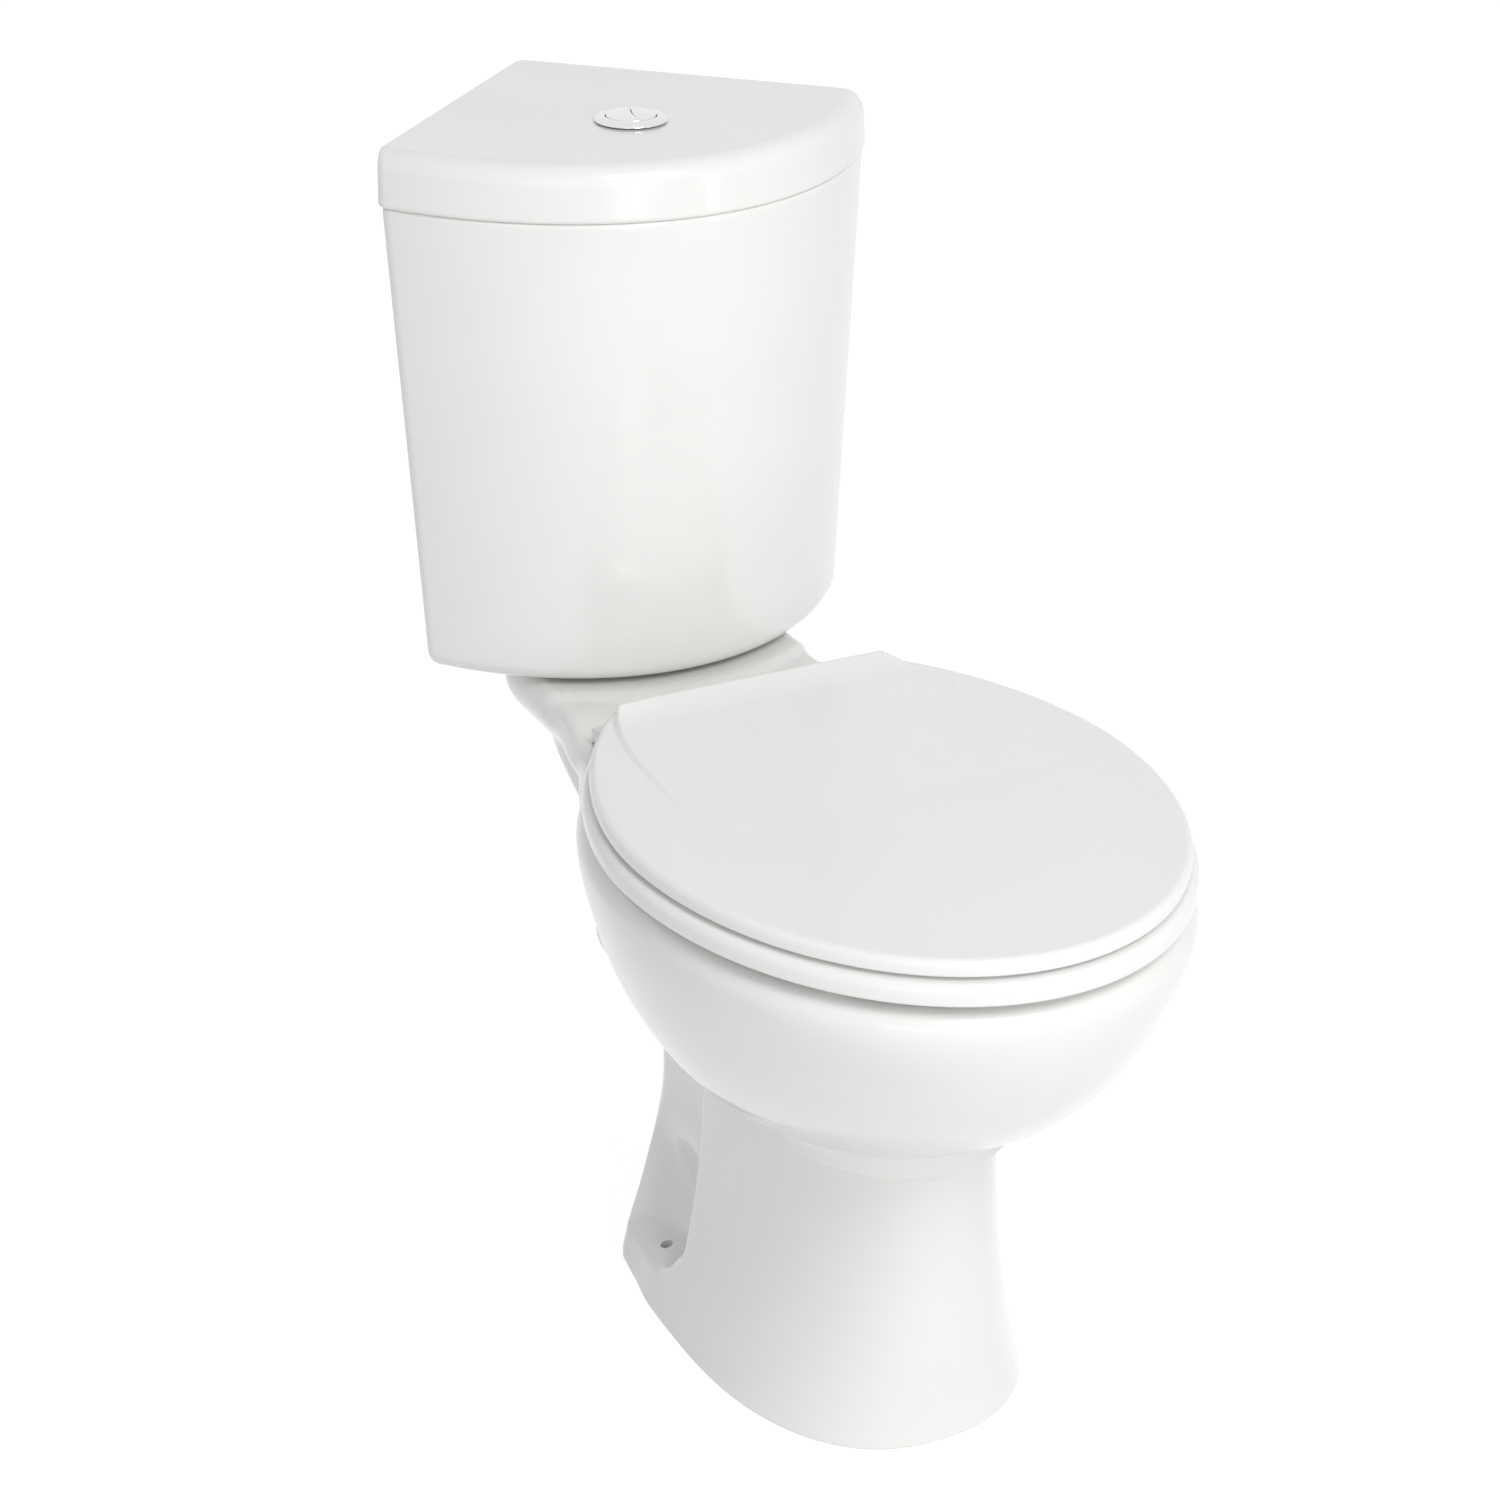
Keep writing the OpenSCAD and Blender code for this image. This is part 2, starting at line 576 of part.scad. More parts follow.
// The button is one disc, cut by a curved line into a large and a small part
module button_part(small) {
    color(CHROME) translate([0, valve_y, button_z]) intersection() {
        rotate_extrude($fn = 96) polygon([[0, 0], [button_diameter / 2, 0],
            [button_diameter / 2, button_top - button_z - 0.8],
            [button_diameter / 2 - 0.8, button_top - button_z], [0, button_top - button_z]]);
        if (small) translate([split_x, split_y, -eps])
            cylinder(h = button_top - button_z + 2 * eps, r = split_radius - clear / 2, $fn = 96);
        else difference() {
            translate([0, 0, -eps])
                cylinder(h = button_top - button_z + 2 * eps, d = button_diameter + 4, $fn = 96);
            translate([split_x, split_y, -2 * eps])
                cylinder(h = button_top - button_z + 4 * eps, r = split_radius + clear / 2, $fn = 96);
        }
    }
}

module full_flush_button() {
    button_part(false);
}

module half_flush_button() {
    button_part(true);
}

module full_flush_rod() {
    color(PLASTIC) rod(-rod_offset, valve_y, cap_z + 2, button_z, rod_diameter);
}

module half_flush_rod() {
    color(PLASTIC) rod(rod_offset, valve_y, cap_z + 2, button_z, rod_diameter);
}

// ---- Flush valve -----------------------------------------------------------

tail_d = 60;
tail_length = 24;
outlet_r = 24;
overflow_d = 26;
guide_d = 34;
flange_r = 41;
basket_r = 36;
basket_wall = 3;
basket_height = 90;
flange_z = floor_z + 2;
seat_z = flange_z + 4;
basket_top = seat_z + basket_height;
overflow_top = cap_z - 24;
seal = 3;

module flush_valve_body() {
    inner = basket_r - basket_wall;
    guide_bore = overflow_d / 2 + fit;
    color(MOULDING) translate([0, valve_y, 0]) difference() {
        rotate_extrude($fn = 96) polygon([
            [outlet_r, cistern_z - tail_length], [tail_d / 2, cistern_z - tail_length],
            [tail_d / 2, flange_z], [flange_r, flange_z], [flange_r, seat_z], [basket_r, seat_z],
            [basket_r, basket_top + 3], [guide_d / 2, basket_top + 6], [guide_d / 2, cap_z],
            [guide_bore, cap_z], [guide_bore, basket_top], [inner, basket_top], [inner, seat_z],
            [outlet_r, seat_z]]);
        for (a = [0:90:270]) rotate([0, 0, a + 45]) translate([inner - 9, -16, seat_z + 8])
            cube([20, 32, basket_height - 18]);
        for (s = [-1, 1]) translate([-4, s * guide_d / 2 - 8, overflow_top + 2]) cube([8, 16, 14]);
    }
}

module flush_valve_washer() {
    color(RUBBER) tube(0, valve_y, floor_z, flange_z, 2 * flange_r - 2, tail_d);
}

module flush_valve_backnut() {
    color(MOULDING) difference() {
        rod(0, valve_y, cistern_z - 13, cistern_z, inlet_bore - 2);
        rod(0, valve_y, cistern_z - 13 - eps, cistern_z + eps, tail_d);
    }
}

module coupling_washer() {
    color(RUBBER) tube(0, valve_y, pad_z, cistern_z, inlet_bore + 28, inlet_bore - 1);
}

module flush_valve_cap() {
    color(BLUE) difference() {
        rod(0, valve_y, cap_z - 5, cap_z + cap_plate, guide_d + 10);
        rod(0, valve_y, cap_z - 5 - eps, cap_z, guide_d);
        for (s = [-1, 1])
            rod(s * rod_offset, valve_y, cap_z - eps, cap_z + cap_plate + eps, rod_diameter + 2 * fit);
    }
}

// The overflow tube carries the seal and slides in the valve's neck
seal_z = seat_z + 0.1;
module overflow_tube() {
    color(PLASTIC) tube(0, valve_y, seal_z, overflow_top, overflow_d, overflow_d - 4);
}

module valve_seal() {
    color(RUBBER) tube(0, valve_y, seal_z, seal_z + seal, 2 * outlet_r + 10, overflow_d);
}

module seal_retainer() {
    color(PLASTIC) tube(0, valve_y, seal_z + seal, seal_z + seal + 3, 2 * outlet_r, overflow_d);
    color(PLASTIC) tube(0, valve_y, seal_z + seal + 3, seal_z + seal + 16, overflow_d + 6, overflow_d);
}

// ---- Fill valve ------------------------------------------------------------

shank_d = 20.9;
shank_collar_d = 21.5;
shank_length = 38;
backnut_height = 9;
fill_flange_z = floor_z + 2;
riser_d = 18;
riser_z0 = fill_flange_z + 22;
head_z = lid_top - 147;
head_height = 34;
head_d = 30;
pivot_y = fill_y - 24;
pivot_z = head_z + 26;
arm_width = 10;
arm_height = 8;
arm_length = 96;
arm_pin_d = 4;
fork_width = 22;
float_drop = 36;
float_r = 24;

module fill_valve_shank() {
    color(MOULDING) difference() {
        union() {
            rod(fill_x, fill_y, cistern_z - shank_length, fill_flange_z, shank_d);
            rod(fill_x, fill_y, cistern_z - backnut_height, fill_flange_z, shank_collar_d);
            rod(fill_x, fill_y, fill_flange_z, fill_flange_z + 3, 30);
            rod(fill_x, fill_y, fill_flange_z, riser_z0 + 8, riser_d + 8);
        }
        rod(fill_x, fill_y, cistern_z - shank_length - eps, riser_z0 + eps, 13);
        rod(fill_x, fill_y, riser_z0, riser_z0 + 8 + eps, riser_d);
    }
}

module inlet_strainer() {
    z0 = cistern_z - shank_length + 2;
    color(BLUE) difference() {
        rod(fill_x, fill_y, z0, z0 + 18, 13);
        rod(fill_x, fill_y, z0 - eps, z0 + 16, 10);
        for (a = [0:60:120]) translate([fill_x, fill_y, z0 + 6]) rotate([0, 0, a])
            translate([-8, -1.5, 0]) cube([16, 3, 8]);
    }
}

module fill_valve_washer() {
    color(RUBBER) tube(fill_x, fill_y, floor_z, fill_flange_z, 28, shank_collar_d);
}

module fill_valve_backnut() {
    color(MOULDING) difference() {
        translate([fill_x, fill_y, cistern_z - backnut_height])
            cylinder(h = backnut_height, d = 32, $fn = 6);
        rod(fill_x, fill_y, cistern_z - backnut_height - eps, cistern_z + eps, shank_collar_d);
    }
}

module fill_valve_tube() {
    color(MOULDING) tube(fill_x, fill_y, riser_z0, head_z, riser_d, riser_d - 5);
}

module fill_valve_head() {
    color(MOULDING) difference() {
        union() {
            rod(fill_x, fill_y, head_z, head_z + head_height, head_d);
            translate([fill_x - fork_width / 2, pivot_y - 7, pivot_z - 8]) cube([fork_width, 24, 16]);
        }
        translate([fill_x - arm_width / 2 - clear, pivot_y - 7 - eps, pivot_z - 9])
            cube([arm_width + 2 * clear, 14 + eps, 18]);
        translate([fill_x - fork_width / 2 - eps, pivot_y, pivot_z]) rotate([0, 90, 0])
            cylinder(h = fork_width + 2 * eps, d = arm_pin_d, $fn = 32);
        rod(fill_x, fill_y, head_z - eps, head_z + 14, riser_d - 5);
    }
}

module arm_pin() {
    length = fork_width + 3;
    color(BRASS) translate([fill_x - length / 2, pivot_y, pivot_z]) rotate([0, 90, 0])
        cylinder(h = length, d = arm_pin_d, $fn = 32);
}

module float_arm() {
    tip_y = pivot_y - arm_length;
    color(PLASTIC) difference() {
        union() {
            translate([fill_x - arm_width / 2, pivot_y, pivot_z]) rotate([0, 90, 0])
                cylinder(h = arm_width, d = arm_height + 2, $fn = 48);
            translate([fill_x - arm_width / 2, tip_y, pivot_z - arm_height / 2])
                cube([arm_width, arm_length, arm_height]);
            rod(fill_x, tip_y, pivot_z - arm_height / 2, pivot_z + arm_height / 2, 16);
        }
        translate([fill_x - arm_width, pivot_y, pivot_z]) rotate([0, 90, 0])
            cylinder(h = 2 * arm_width, d = arm_pin_d + 2 * fit, $fn = 32);
        rod(fill_x, tip_y, pivot_z - arm_height, pivot_z + arm_height, 6);
    }
}

module float_screw() {
    y = pivot_y - arm_length;
    color(BRASS) rod(fill_x, y, pivot_z - float_drop, pivot_z + 12, 6);
    color(BRASS) translate([fill_x, y, pivot_z + 12]) cylinder(h = 4, d = 11, $fn = 6);
}

module float() {
    y = pivot_y - arm_length;
    z = pivot_z - float_drop;
    color(BLUE) difference() {
        translate([fill_x, y, z]) sphere(r = float_r, $fn = 64);
        rod(fill_x, y, z, z + float_r + eps, 6);
    }
}

// ---- Cistern bolts ---------------------------------------------------------

bolt_d = 8;
bolt_head = 5;
cone = 10;

module cistern_bolts() {
    z1 = floor_z + cone + 2;
    color(BRASS) for (s = [-1, 1]) difference() {
        union() {
            rod(s * bolt_half, valve_y, plate_under - 17, z1, bolt_d);
            rod(s * bolt_half, valve_y, z1, z1 + bolt_head, 18);
        }
        translate([s * bolt_half - 1, valve_y - 10, z1 + bolt_head - 2]) cube([2, 20, 3]);
    }
}

module bolt_rubbers() {
    color(RUBBER) for (s = [-1, 1]) translate([s * bolt_half, valve_y, floor_z])
        difference() {
            union() {
                cylinder(h = cone, r1 = 14, r2 = 11, $fn = 48);
                translate([0, 0, 1 - cistern_floor]) cylinder(h = cistern_floor, d = 11, $fn = 48);
            }
            translate([0, 0, -cistern_floor]) cylinder(h = 2 * cistern_floor, d = bolt_d, $fn = 48);
        }
}

module bolt_washers() {
    z = floor_z + cone;
    color(BRASS) for (s = [-1, 1]) {
        tube(s * bolt_half, valve_y, z, z + 2, 24, bolt_d);
        tube(s * bolt_half, valve_y, plate_under - 3, plate_under, 28, bolt_d);
    }
}

module wing_nuts() {
    z1 = plate_under - 3;
    color(BRASS) for (s = [-1, 1]) difference() {
        union() {
            rod(s * bolt_half, valve_y, z1 - 9, z1, 16);
            translate([s * bolt_half - 2, valve_y - 15, z1 - 16]) cube([4, 30, 13]);
        }
        rod(s * bolt_half, valve_y, z1 - 17, z1 + eps, bolt_d);
    }
}

// ---- Seat ------------------------------------------------------------------

// Outline of the ring or cover at angle a, with the back cut off straight
function seat_edge(a, half, front, rear, back_y) =
    let (c = cos(a), s = sin(a), n = s < 0 ? 2 : 1.85, reach = s < 0 ? front : rear,
         k = 1 / pow(pow(abs(c) / half, n) + pow(abs(s) / reach, n), 1 / n),
         cut = s > 0 ? min(k, (back_y - seat_y) / s) : k)
    [c * cut, seat_y + s * cut];

// The egg's own back end lies further back than the straight cut
seat_rear = (cover_back_y - seat_y) * 1.317;
function corner_x(half, rear, back_y) =
    half * pow(1 - pow((back_y - seat_y) / rear, 1.85), 1 / 1.85);

// Angles round the outline, closer together near its back corners at angle c
function seat_angles(c) = concat([for (i = [0:6]) c * sin(90 * i / 8)],
    [c - 1.2, c + 1.2],
    [for (i = [1:7]) mix(c + 1.2, 178.8 - c, i / 8)],
    [178.8 - c, 181.2 - c],
    [for (i = [6:-1:0]) 180 - c * sin(90 * i / 8)],
    [for (i = [1:35]) 180 + 5 * i]);

function towards(p, q, d) = p + (q - p) * d / norm(q - p);

// How far the ring's hole reaches from the widest line, towards the front or the back
function ring_hole_reach(a) = sin(a) < 0 ? ring_hole_half_length
    : cover_back_y - 2 - seat_y - ring_back_width;

module seat_ring() {
    mid = [0, seat_y + 20];
    k = ring_thickness / 17;
    outer = [[4, 0], [1.2, 1.2], [0, 4], [0, 11], [1, 12.6], [4, 14.4], [12, 16.2], [20, 17]];
    inner = [[3.5, -1], [3.5, 0.4], [0.8, 2], [0, 4.5], [0.6, 9], [3, 13], [8, 15.8], [14, 16.7],
        [14, 19]];
    back_y = cover_back_y - 2;
    corner = atan2(back_y - seat_y, corner_x(seat_half_width, seat_rear, back_y));
    edge = [for (a = seat_angles(corner))
        seat_edge(a, seat_half_width, seat_front_reach, seat_rear, back_y)];
    color(PLASTIC) union() {
        difference() {
            loft([for (u = outer) [for (p = edge) let (xy = towards(p, mid, u[0]))
                [xy[0], xy[1], ring_z + k * u[1]]]]);
            loft([for (u = inner) [for (a = [0:5:355]) [(ring_hole_half_width + u[0]) * cos(a),
                seat_y + (ring_hole_reach(a) + u[0]) * sin(a), ring_z + k * u[1]]]]);
        }
        for (s = [-1, 1]) difference() {
            translate([s * ring_ear_x - ear_width / 2, 0, 0]) rotate([90, 0, 90])
                linear_extrude(height = ear_width) {
                    translate([hinge_y, hinge_z]) circle(d = ear_d, $fn = 48);
                    polygon([[hinge_y, hinge_z - 5], [hinge_y + 3, hinge_z + 6],
                        [cover_back_y - 14, hinge_z + 7], [cover_back_y - 14, hinge_z]]);
                }
            translate([s * ring_ear_x - ear_width, hinge_y, hinge_z]) rotate([0, 90, 0])
                cylinder(h = 2 * ear_width, d = hinge_pin_diameter + 2 * fit, $fn = 48);
        }
    }
}

ear_width = 11.5;
ear_d = 15;
ear_gap = 0.5;
block_width = 46;
block_depth = 20;
block_height = 14;
block_x = stud_spacing / 2 - 15.5;
ring_ear_x = block_x - ear_gap - ear_width / 2;
cover_ear_x = ring_ear_x - ear_gap - ear_width;

// The cover's top: a slight dome, with a saddle that sweeps up to the straight back edge
cover_half = seat_half_width - cover_inset;
cover_rear = seat_rear - cover_inset;
cover_corner = corner_x(cover_half, cover_rear, cover_back_y);
function saddle_half(y) = cover_corner - 2 + 16 * ease((cover_back_y - y) / 90);
function sweep_up(x, y) = let (t = unit((y - cover_back_y + 95) / 95))
    cover_sweep * pow(t, 1.8) * (1 - ease((abs(x) - saddle_half(y) + 3) / 9));
function cover_top(x, y, inset) =
    cover_z + cover_thickness + 2.5 * ease(inset / 110) + sweep_up(x, y);

module seat_cover() {
    front = seat_front_reach - cover_inset;
    corner = atan2(cover_back_y - seat_y, cover_corner);
    mid = [0, seat_y + 20];
    roof = cover_thickness - 4;
    under = [[30, roof], [12, roof], [8, 0], [1.5, 0], [0, 1.5]];
    over = [[0, -4.5], [1.2, -2], [3.5, -0.4], [8, 0], [14, 0], [24, 0], [36, 0], [50, 0], [66, 0],
        [84, 0], [104, 0]];
    edge = [for (a = seat_angles(corner)) seat_edge(a, cover_half, front, cover_rear, cover_back_y)];
    color(PLASTIC) union() {
        loft(concat(
            [for (u = under) [for (p = edge) let (xy = towards(p, mid, u[0]))
                [xy[0], xy[1], cover_z + u[1]]]],
            [for (u = over) [for (p = edge) let (xy = towards(p, mid, u[0]))
                [xy[0], xy[1], cover_top(xy[0], xy[1], u[0]) + u[1]]]]));
        for (s = [-1, 1]) difference() {
            translate([s * cover_ear_x - ear_width / 2, 0, 0]) rotate([90, 0, 90])
                linear_extrude(height = ear_width) {
                    translate([hinge_y, hinge_z]) circle(d = ear_d, $fn = 48);
                    polygon([[hinge_y - ear_d / 2, hinge_z], [cover_back_y + 1, cover_z - 4],
                        [cover_back_y + 1, cover_z + 1], [cover_back_y - 6, cover_z + 1],
                        [cover_back_y - 6, cover_z + cover_thickness - 2],
                        [cover_back_y + 7, cover_z + cover_thickness - 2],
                        [hinge_y + ear_d / 2, hinge_z]]);
                }
            translate([s * cover_ear_x - ear_width, hinge_y, hinge_z]) rotate([0, 90, 0])
                cylinder(h = 2 * ear_width, d = hinge_pin_diameter + 2 * fit, $fn = 48);
        }
    }
}

// Bumper places as shares of the seat's half width and front reach
ring_bumper_front = [0.62, 0.63];
ring_bumper_side = [0.82, -0.25];
cover_bumper_front = [0.56, 0.59];
cover_bumper_side = [0.78, -0.07];
ring_bumper_d = 20;
cover_bumper_d = 12;
cover_roof = cover_thickness - 4;

module bumper_pair(share, z0, z1, d) {
    for (s = [-1, 1])
        rod(s * share[0] * seat_half_width, seat_y - share[1] * seat_front_reach, z0, z1, d);
}

module ring_bumpers() {
    color(RUBBER) {
        bumper_pair(ring_bumper_front, rim_height, ring_z, ring_bumper_d);
        bumper_pair(ring_bumper_side, rim_height, ring_z, ring_bumper_d);
    }
}

module cover_bumpers() {
    z0 = ring_z + ring_thickness + 0.3;
    color(RUBBER) {
        bumper_pair(cover_bumper_front, z0, cover_z + cover_roof, cover_bumper_d);
        bumper_pair(cover_bumper_side, z0, cover_z + cover_roof, cover_bumper_d);
    }
}

module hinge_blocks() {
    color(PLASTIC) for (s = [-1, 1]) difference() {
        translate([s > 0 ? block_x : -block_x - block_width, hinge_y - block_depth / 2, rim_height])
            cube([block_width, block_depth, block_height]);
        translate([s > 0 ? block_x - eps : -block_x - block_width + 2, hinge_y, hinge_z])
            rotate([0, 90, 0]) cylinder(h = block_width - 1, d = hinge_pin_diameter, $fn = 48);
    }
}

module hinge_pins() {
    length = block_x + block_width - 2 - cover_ear_x + ear_width / 2;
    color(CHROME) for (s = [-1, 1])
        translate([s > 0 ? cover_ear_x - ear_width / 2 : -cover_ear_x + ear_width / 2 - length,
                   hinge_y, hinge_z])
            rotate([0, 90, 0]) cylinder(h = length, d = hinge_pin_diameter, $fn = 48);
}

stud_d = 8;
stud_washer_d = 24;
stud_nut_d = 22;
stud_nut_height = 10;
washer = 3;
module seat_studs() {
    color(BRASS) for (s = [-1, 1])
        rod(s * stud_spacing / 2, hinge_y, plate_under - 16, rim_height, stud_d);
}

module stud_washers() {
    color(RUBBER) for (s = [-1, 1])
        tube(s * stud_spacing / 2, hinge_y, plate_under - washer, plate_under, stud_washer_d, stud_d);
}

module stud_nuts() {
    color(MOULDING) for (s = [-1, 1]) difference() {
        translate([s * stud_spacing / 2, hinge_y, plate_under - washer - stud_nut_height])
            cylinder(h = stud_nut_height, d = stud_nut_d, $fn = 6);
        rod(s * stud_spacing / 2, hinge_y, plate_under - washer - stud_nut_height - eps,
            plate_under - washer + eps, stud_d);
    }
}

pan();
cistern();
cistern_lid();
coupling_washer();
cistern_bolts();
bolt_rubbers();
bolt_washers();
wing_nuts();
flush_valve_body();
flush_valve_washer();
flush_valve_backnut();
flush_valve_cap();
overflow_tube();
valve_seal();
seal_retainer();
fill_valve_shank();
fill_valve_washer();
fill_valve_backnut();
fill_valve_tube();
fill_valve_head();
inlet_strainer();
arm_pin();
float_arm();
float_screw();
float();
button_bezel();
bezel_nut();
bezel_gasket();
full_flush_button();
full_flush_rod();
half_flush_button();
half_flush_rod();
seat_ring();
ring_bumpers();
seat_cover();
cover_bumpers();
hinge_blocks();
hinge_pins();
seat_studs();
stud_washers();
stud_nuts();
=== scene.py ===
import math

import bmesh
import bpy
import numpy as np
from mathutils import Matrix, Vector


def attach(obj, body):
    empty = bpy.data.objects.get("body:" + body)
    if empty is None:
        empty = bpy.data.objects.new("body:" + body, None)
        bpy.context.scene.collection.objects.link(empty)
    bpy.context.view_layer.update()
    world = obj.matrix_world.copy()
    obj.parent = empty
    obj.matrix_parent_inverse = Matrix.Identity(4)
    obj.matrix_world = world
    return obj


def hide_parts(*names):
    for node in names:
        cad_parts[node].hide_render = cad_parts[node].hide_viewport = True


# Corner close-coupled toilet. The main shapes follow the CAD part's formulas at a finer step.
# Lengths are millimetres and become metres when a mesh is made. X runs to the right, Y back to
# the wall corner and Z up from the floor.

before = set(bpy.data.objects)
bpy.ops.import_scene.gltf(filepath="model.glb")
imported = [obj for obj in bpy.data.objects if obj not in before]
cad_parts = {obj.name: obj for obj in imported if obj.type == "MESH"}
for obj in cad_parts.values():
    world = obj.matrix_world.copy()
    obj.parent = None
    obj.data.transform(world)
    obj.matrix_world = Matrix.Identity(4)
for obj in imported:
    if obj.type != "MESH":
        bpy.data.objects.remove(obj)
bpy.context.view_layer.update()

MM = 0.001

# The tank, seen from above: its bottom edge is the foot, and an apex is where two back sides meet.
APEX_R = 8
APEX_Y = 400 + APEX_R * (math.sqrt(2) - 1)
TANK_APEX = APEX_Y - 2 * math.sqrt(2)
FOOT_APEX = TANK_APEX - 28 + 2
FOOT_HALF, FOOT_BULGE, FOOT_WIDE = 164.0, 98.0, 229.0
FOOT_ENDS = FOOT_APEX - FOOT_HALF
VALVE_Y = APEX_Y - 193.5
INLET_X, INLET_Y = 48, VALVE_Y + 74
BOLT_X = 75

# The seat and its hinge.
SEAT_Y = -162.0
HINGE_Y = FOOT_ENDS - FOOT_BULGE - 68.5
HINGE_R = 7.5
COVER_BACK = HINGE_Y - 20
STUD_X = 77.5

# Levels, from the bowl's rim upwards.
RIM = 405.0
PLATE_UNDER = RIM - 16
HINGE_Z = RIM + 8.5
RING_Z = RIM + 7
RING_HEIGHT = 17
COVER_Z = RING_Z + RING_HEIGHT + 1.5
PAD_Z = RIM + 4
TANK_Z = PAD_Z + 4
FLOOR_Z = TANK_Z + 14
TANK_HEIGHT = 341
TANK_TOP = TANK_Z + TANK_HEIGHT
LID_TOP = TANK_TOP + 39


# ---- Small maths ----

def mix(a, b, t):
    """From a to b as t goes from 0 to 1."""
    return a + (b - a) * t


def unit(t):
    return np.clip(t, 0.0, 1.0)


def ease(t):
    """Rises smoothly from 0 to 1."""
    t = unit(t)
    return t * t * (3 - 2 * t)


def soft_max(a, b, k):
    """The larger of two, rounded over a width k where they meet."""
    h = unit(0.5 + 0.5 * (a - b) / k)
    return mix(b, a, h) + k * h * (1 - h)


def arc(n, a0, a1):
    """Angles in radians, in n equal steps between two angles in degrees."""
    return [math.radians(a0 + (a1 - a0) * i / n) for i in range(n + 1)]


# ---- Meshes ----

def make(name, verts, faces, material=None, smooth=32):
    """A closed mesh object from millimetres, with its normals outward and sharp edges by angle."""
    data = bpy.data.meshes.new(name)
    data.from_pydata([tuple(v) for v in np.asarray(verts, float) * MM], [], faces)
    return settle(bpy.data.objects.new(name, data), material, smooth)


def settle(obj, material=None, smooth=32):
    """Merges doubles, turns the faces outwards, shades by angle and gives the material."""
    data = obj.data
    bm = bmesh.new()
    bm.from_mesh(data)
    bmesh.ops.remove_doubles(bm, verts=bm.verts, dist=1e-6)
    bmesh.ops.recalc_face_normals(bm, faces=bm.faces)
    bm.to_mesh(data)
    bm.free()
    if obj.name not in bpy.context.scene.collection.all_objects:
        bpy.context.scene.collection.objects.link(obj)
    data.shade_smooth()
    data.set_sharp_from_angle(angle=math.radians(smooth))
    if material is not None:
        data.materials.clear()
        data.materials.append(material)
    return obj


def split_quads(obj):
    """Splits every quad the same way, so that a curved skin keeps even normals after a cut."""
    bm = bmesh.new()
    bm.from_mesh(obj.data)
    bmesh.ops.triangulate(bm, faces=bm.faces, quad_method="FIXED")
    bm.to_mesh(obj.data)
    bm.free()
    return obj


def grid(rings, wrap=False):
    """Vertices and faces of a skin over equal rings, closed by a pole at each end or wrapped round."""
    rings = [np.asarray(r, float) for r in rings]
    m, n = len(rings), len(rings[0])
    verts = np.concatenate(rings)
    i = np.arange(n)
    j = (i + 1) % n
    faces = []
    for a in range(m if wrap else m - 1):
        b = (a + 1) % m
        faces += np.stack([a * n + i, a * n + j, b * n + j, b * n + i], 1).tolist()
    for ring in () if wrap else (0, m - 1):
        verts = np.concatenate([verts, [rings[ring].mean(0)]])
        pole = len(verts) - 1
        faces += [[int(ring * n + p), int(ring * n + q), pole] for p, q in zip(i, j)]
    return verts, faces


def skin(name, rings, material=None, wrap=False):
    return make(name, *grid(rings, wrap), material)


# Where the local x, y and z of a piece come from when its own axis lies along another one.
AXES = {"x": [2, 0, 1], "y": [1, 2, 0], "z": [0, 1, 2]}


def lathe(name, profile, material=None, at=(0, 0, 0), n=96, smooth=32, axis="z"):
    """A turned piece from (radius, height) pairs. A closed loop if both ends are off the axis."""
    closed = profile[0][0] > 0 and profile[-1][0] > 0
    a = np.linspace(0, 2 * math.pi, n, endpoint=False)
    rings = [np.stack([r * np.cos(a), r * np.sin(a), np.full(n, z)], 1) for r, z in profile if r > 0]
    verts, faces = grid(rings, wrap=closed)
    if not closed:
        verts[-2][2], verts[-1][2] = profile[0][1], profile[-1][1]
    return make(name, verts[:, AXES[axis]] + np.array(at), faces, material, smooth)


def soften(profile, radius, n=5, closed=True):
    """The same outline with every corner rounded; radius is one number or one for each corner."""
    pts = [np.array(p, float) for p in profile]
    count = len(pts)
    out = []
    for k, p in enumerate(pts):
        r = radius[k] if isinstance(radius, (list, tuple)) else radius
        if r <= 0 or (not closed and k in (0, count - 1)):
            out.append(tuple(p))
            continue
        a, b = pts[k - 1] - p, pts[(k + 1) % count] - p
        la, lb = np.linalg.norm(a), np.linalg.norm(b)
        t = min(r, la * 0.45, lb * 0.45)
        p0, p1 = p + a / la * t, p + b / lb * t
        for s in np.linspace(0, 1, n + 1):
            out.append(tuple(p0 * (1 - s) ** 2 + p * 2 * s * (1 - s) + p1 * s * s))
    return out


def inset(loop, d):
    """The outline drawn in by d, along its own normals. The outline runs anticlockwise."""
    def unit_rows(rows):
        return rows / (np.linalg.norm(rows, axis=1)[:, None] + 1e-12)

    e0, e1 = loop - np.roll(loop, 1, 0), np.roll(loop, -1, 0) - loop
    n0, n1 = (unit_rows(np.stack([-e[:, 1], e[:, 0]], 1)) for e in (e0, e1))
    n = unit_rows(n0 + n1)
    sharpest = 0.55
    return loop + n * (d / np.maximum(sharpest, (n * n0).sum(1)))[:, None]


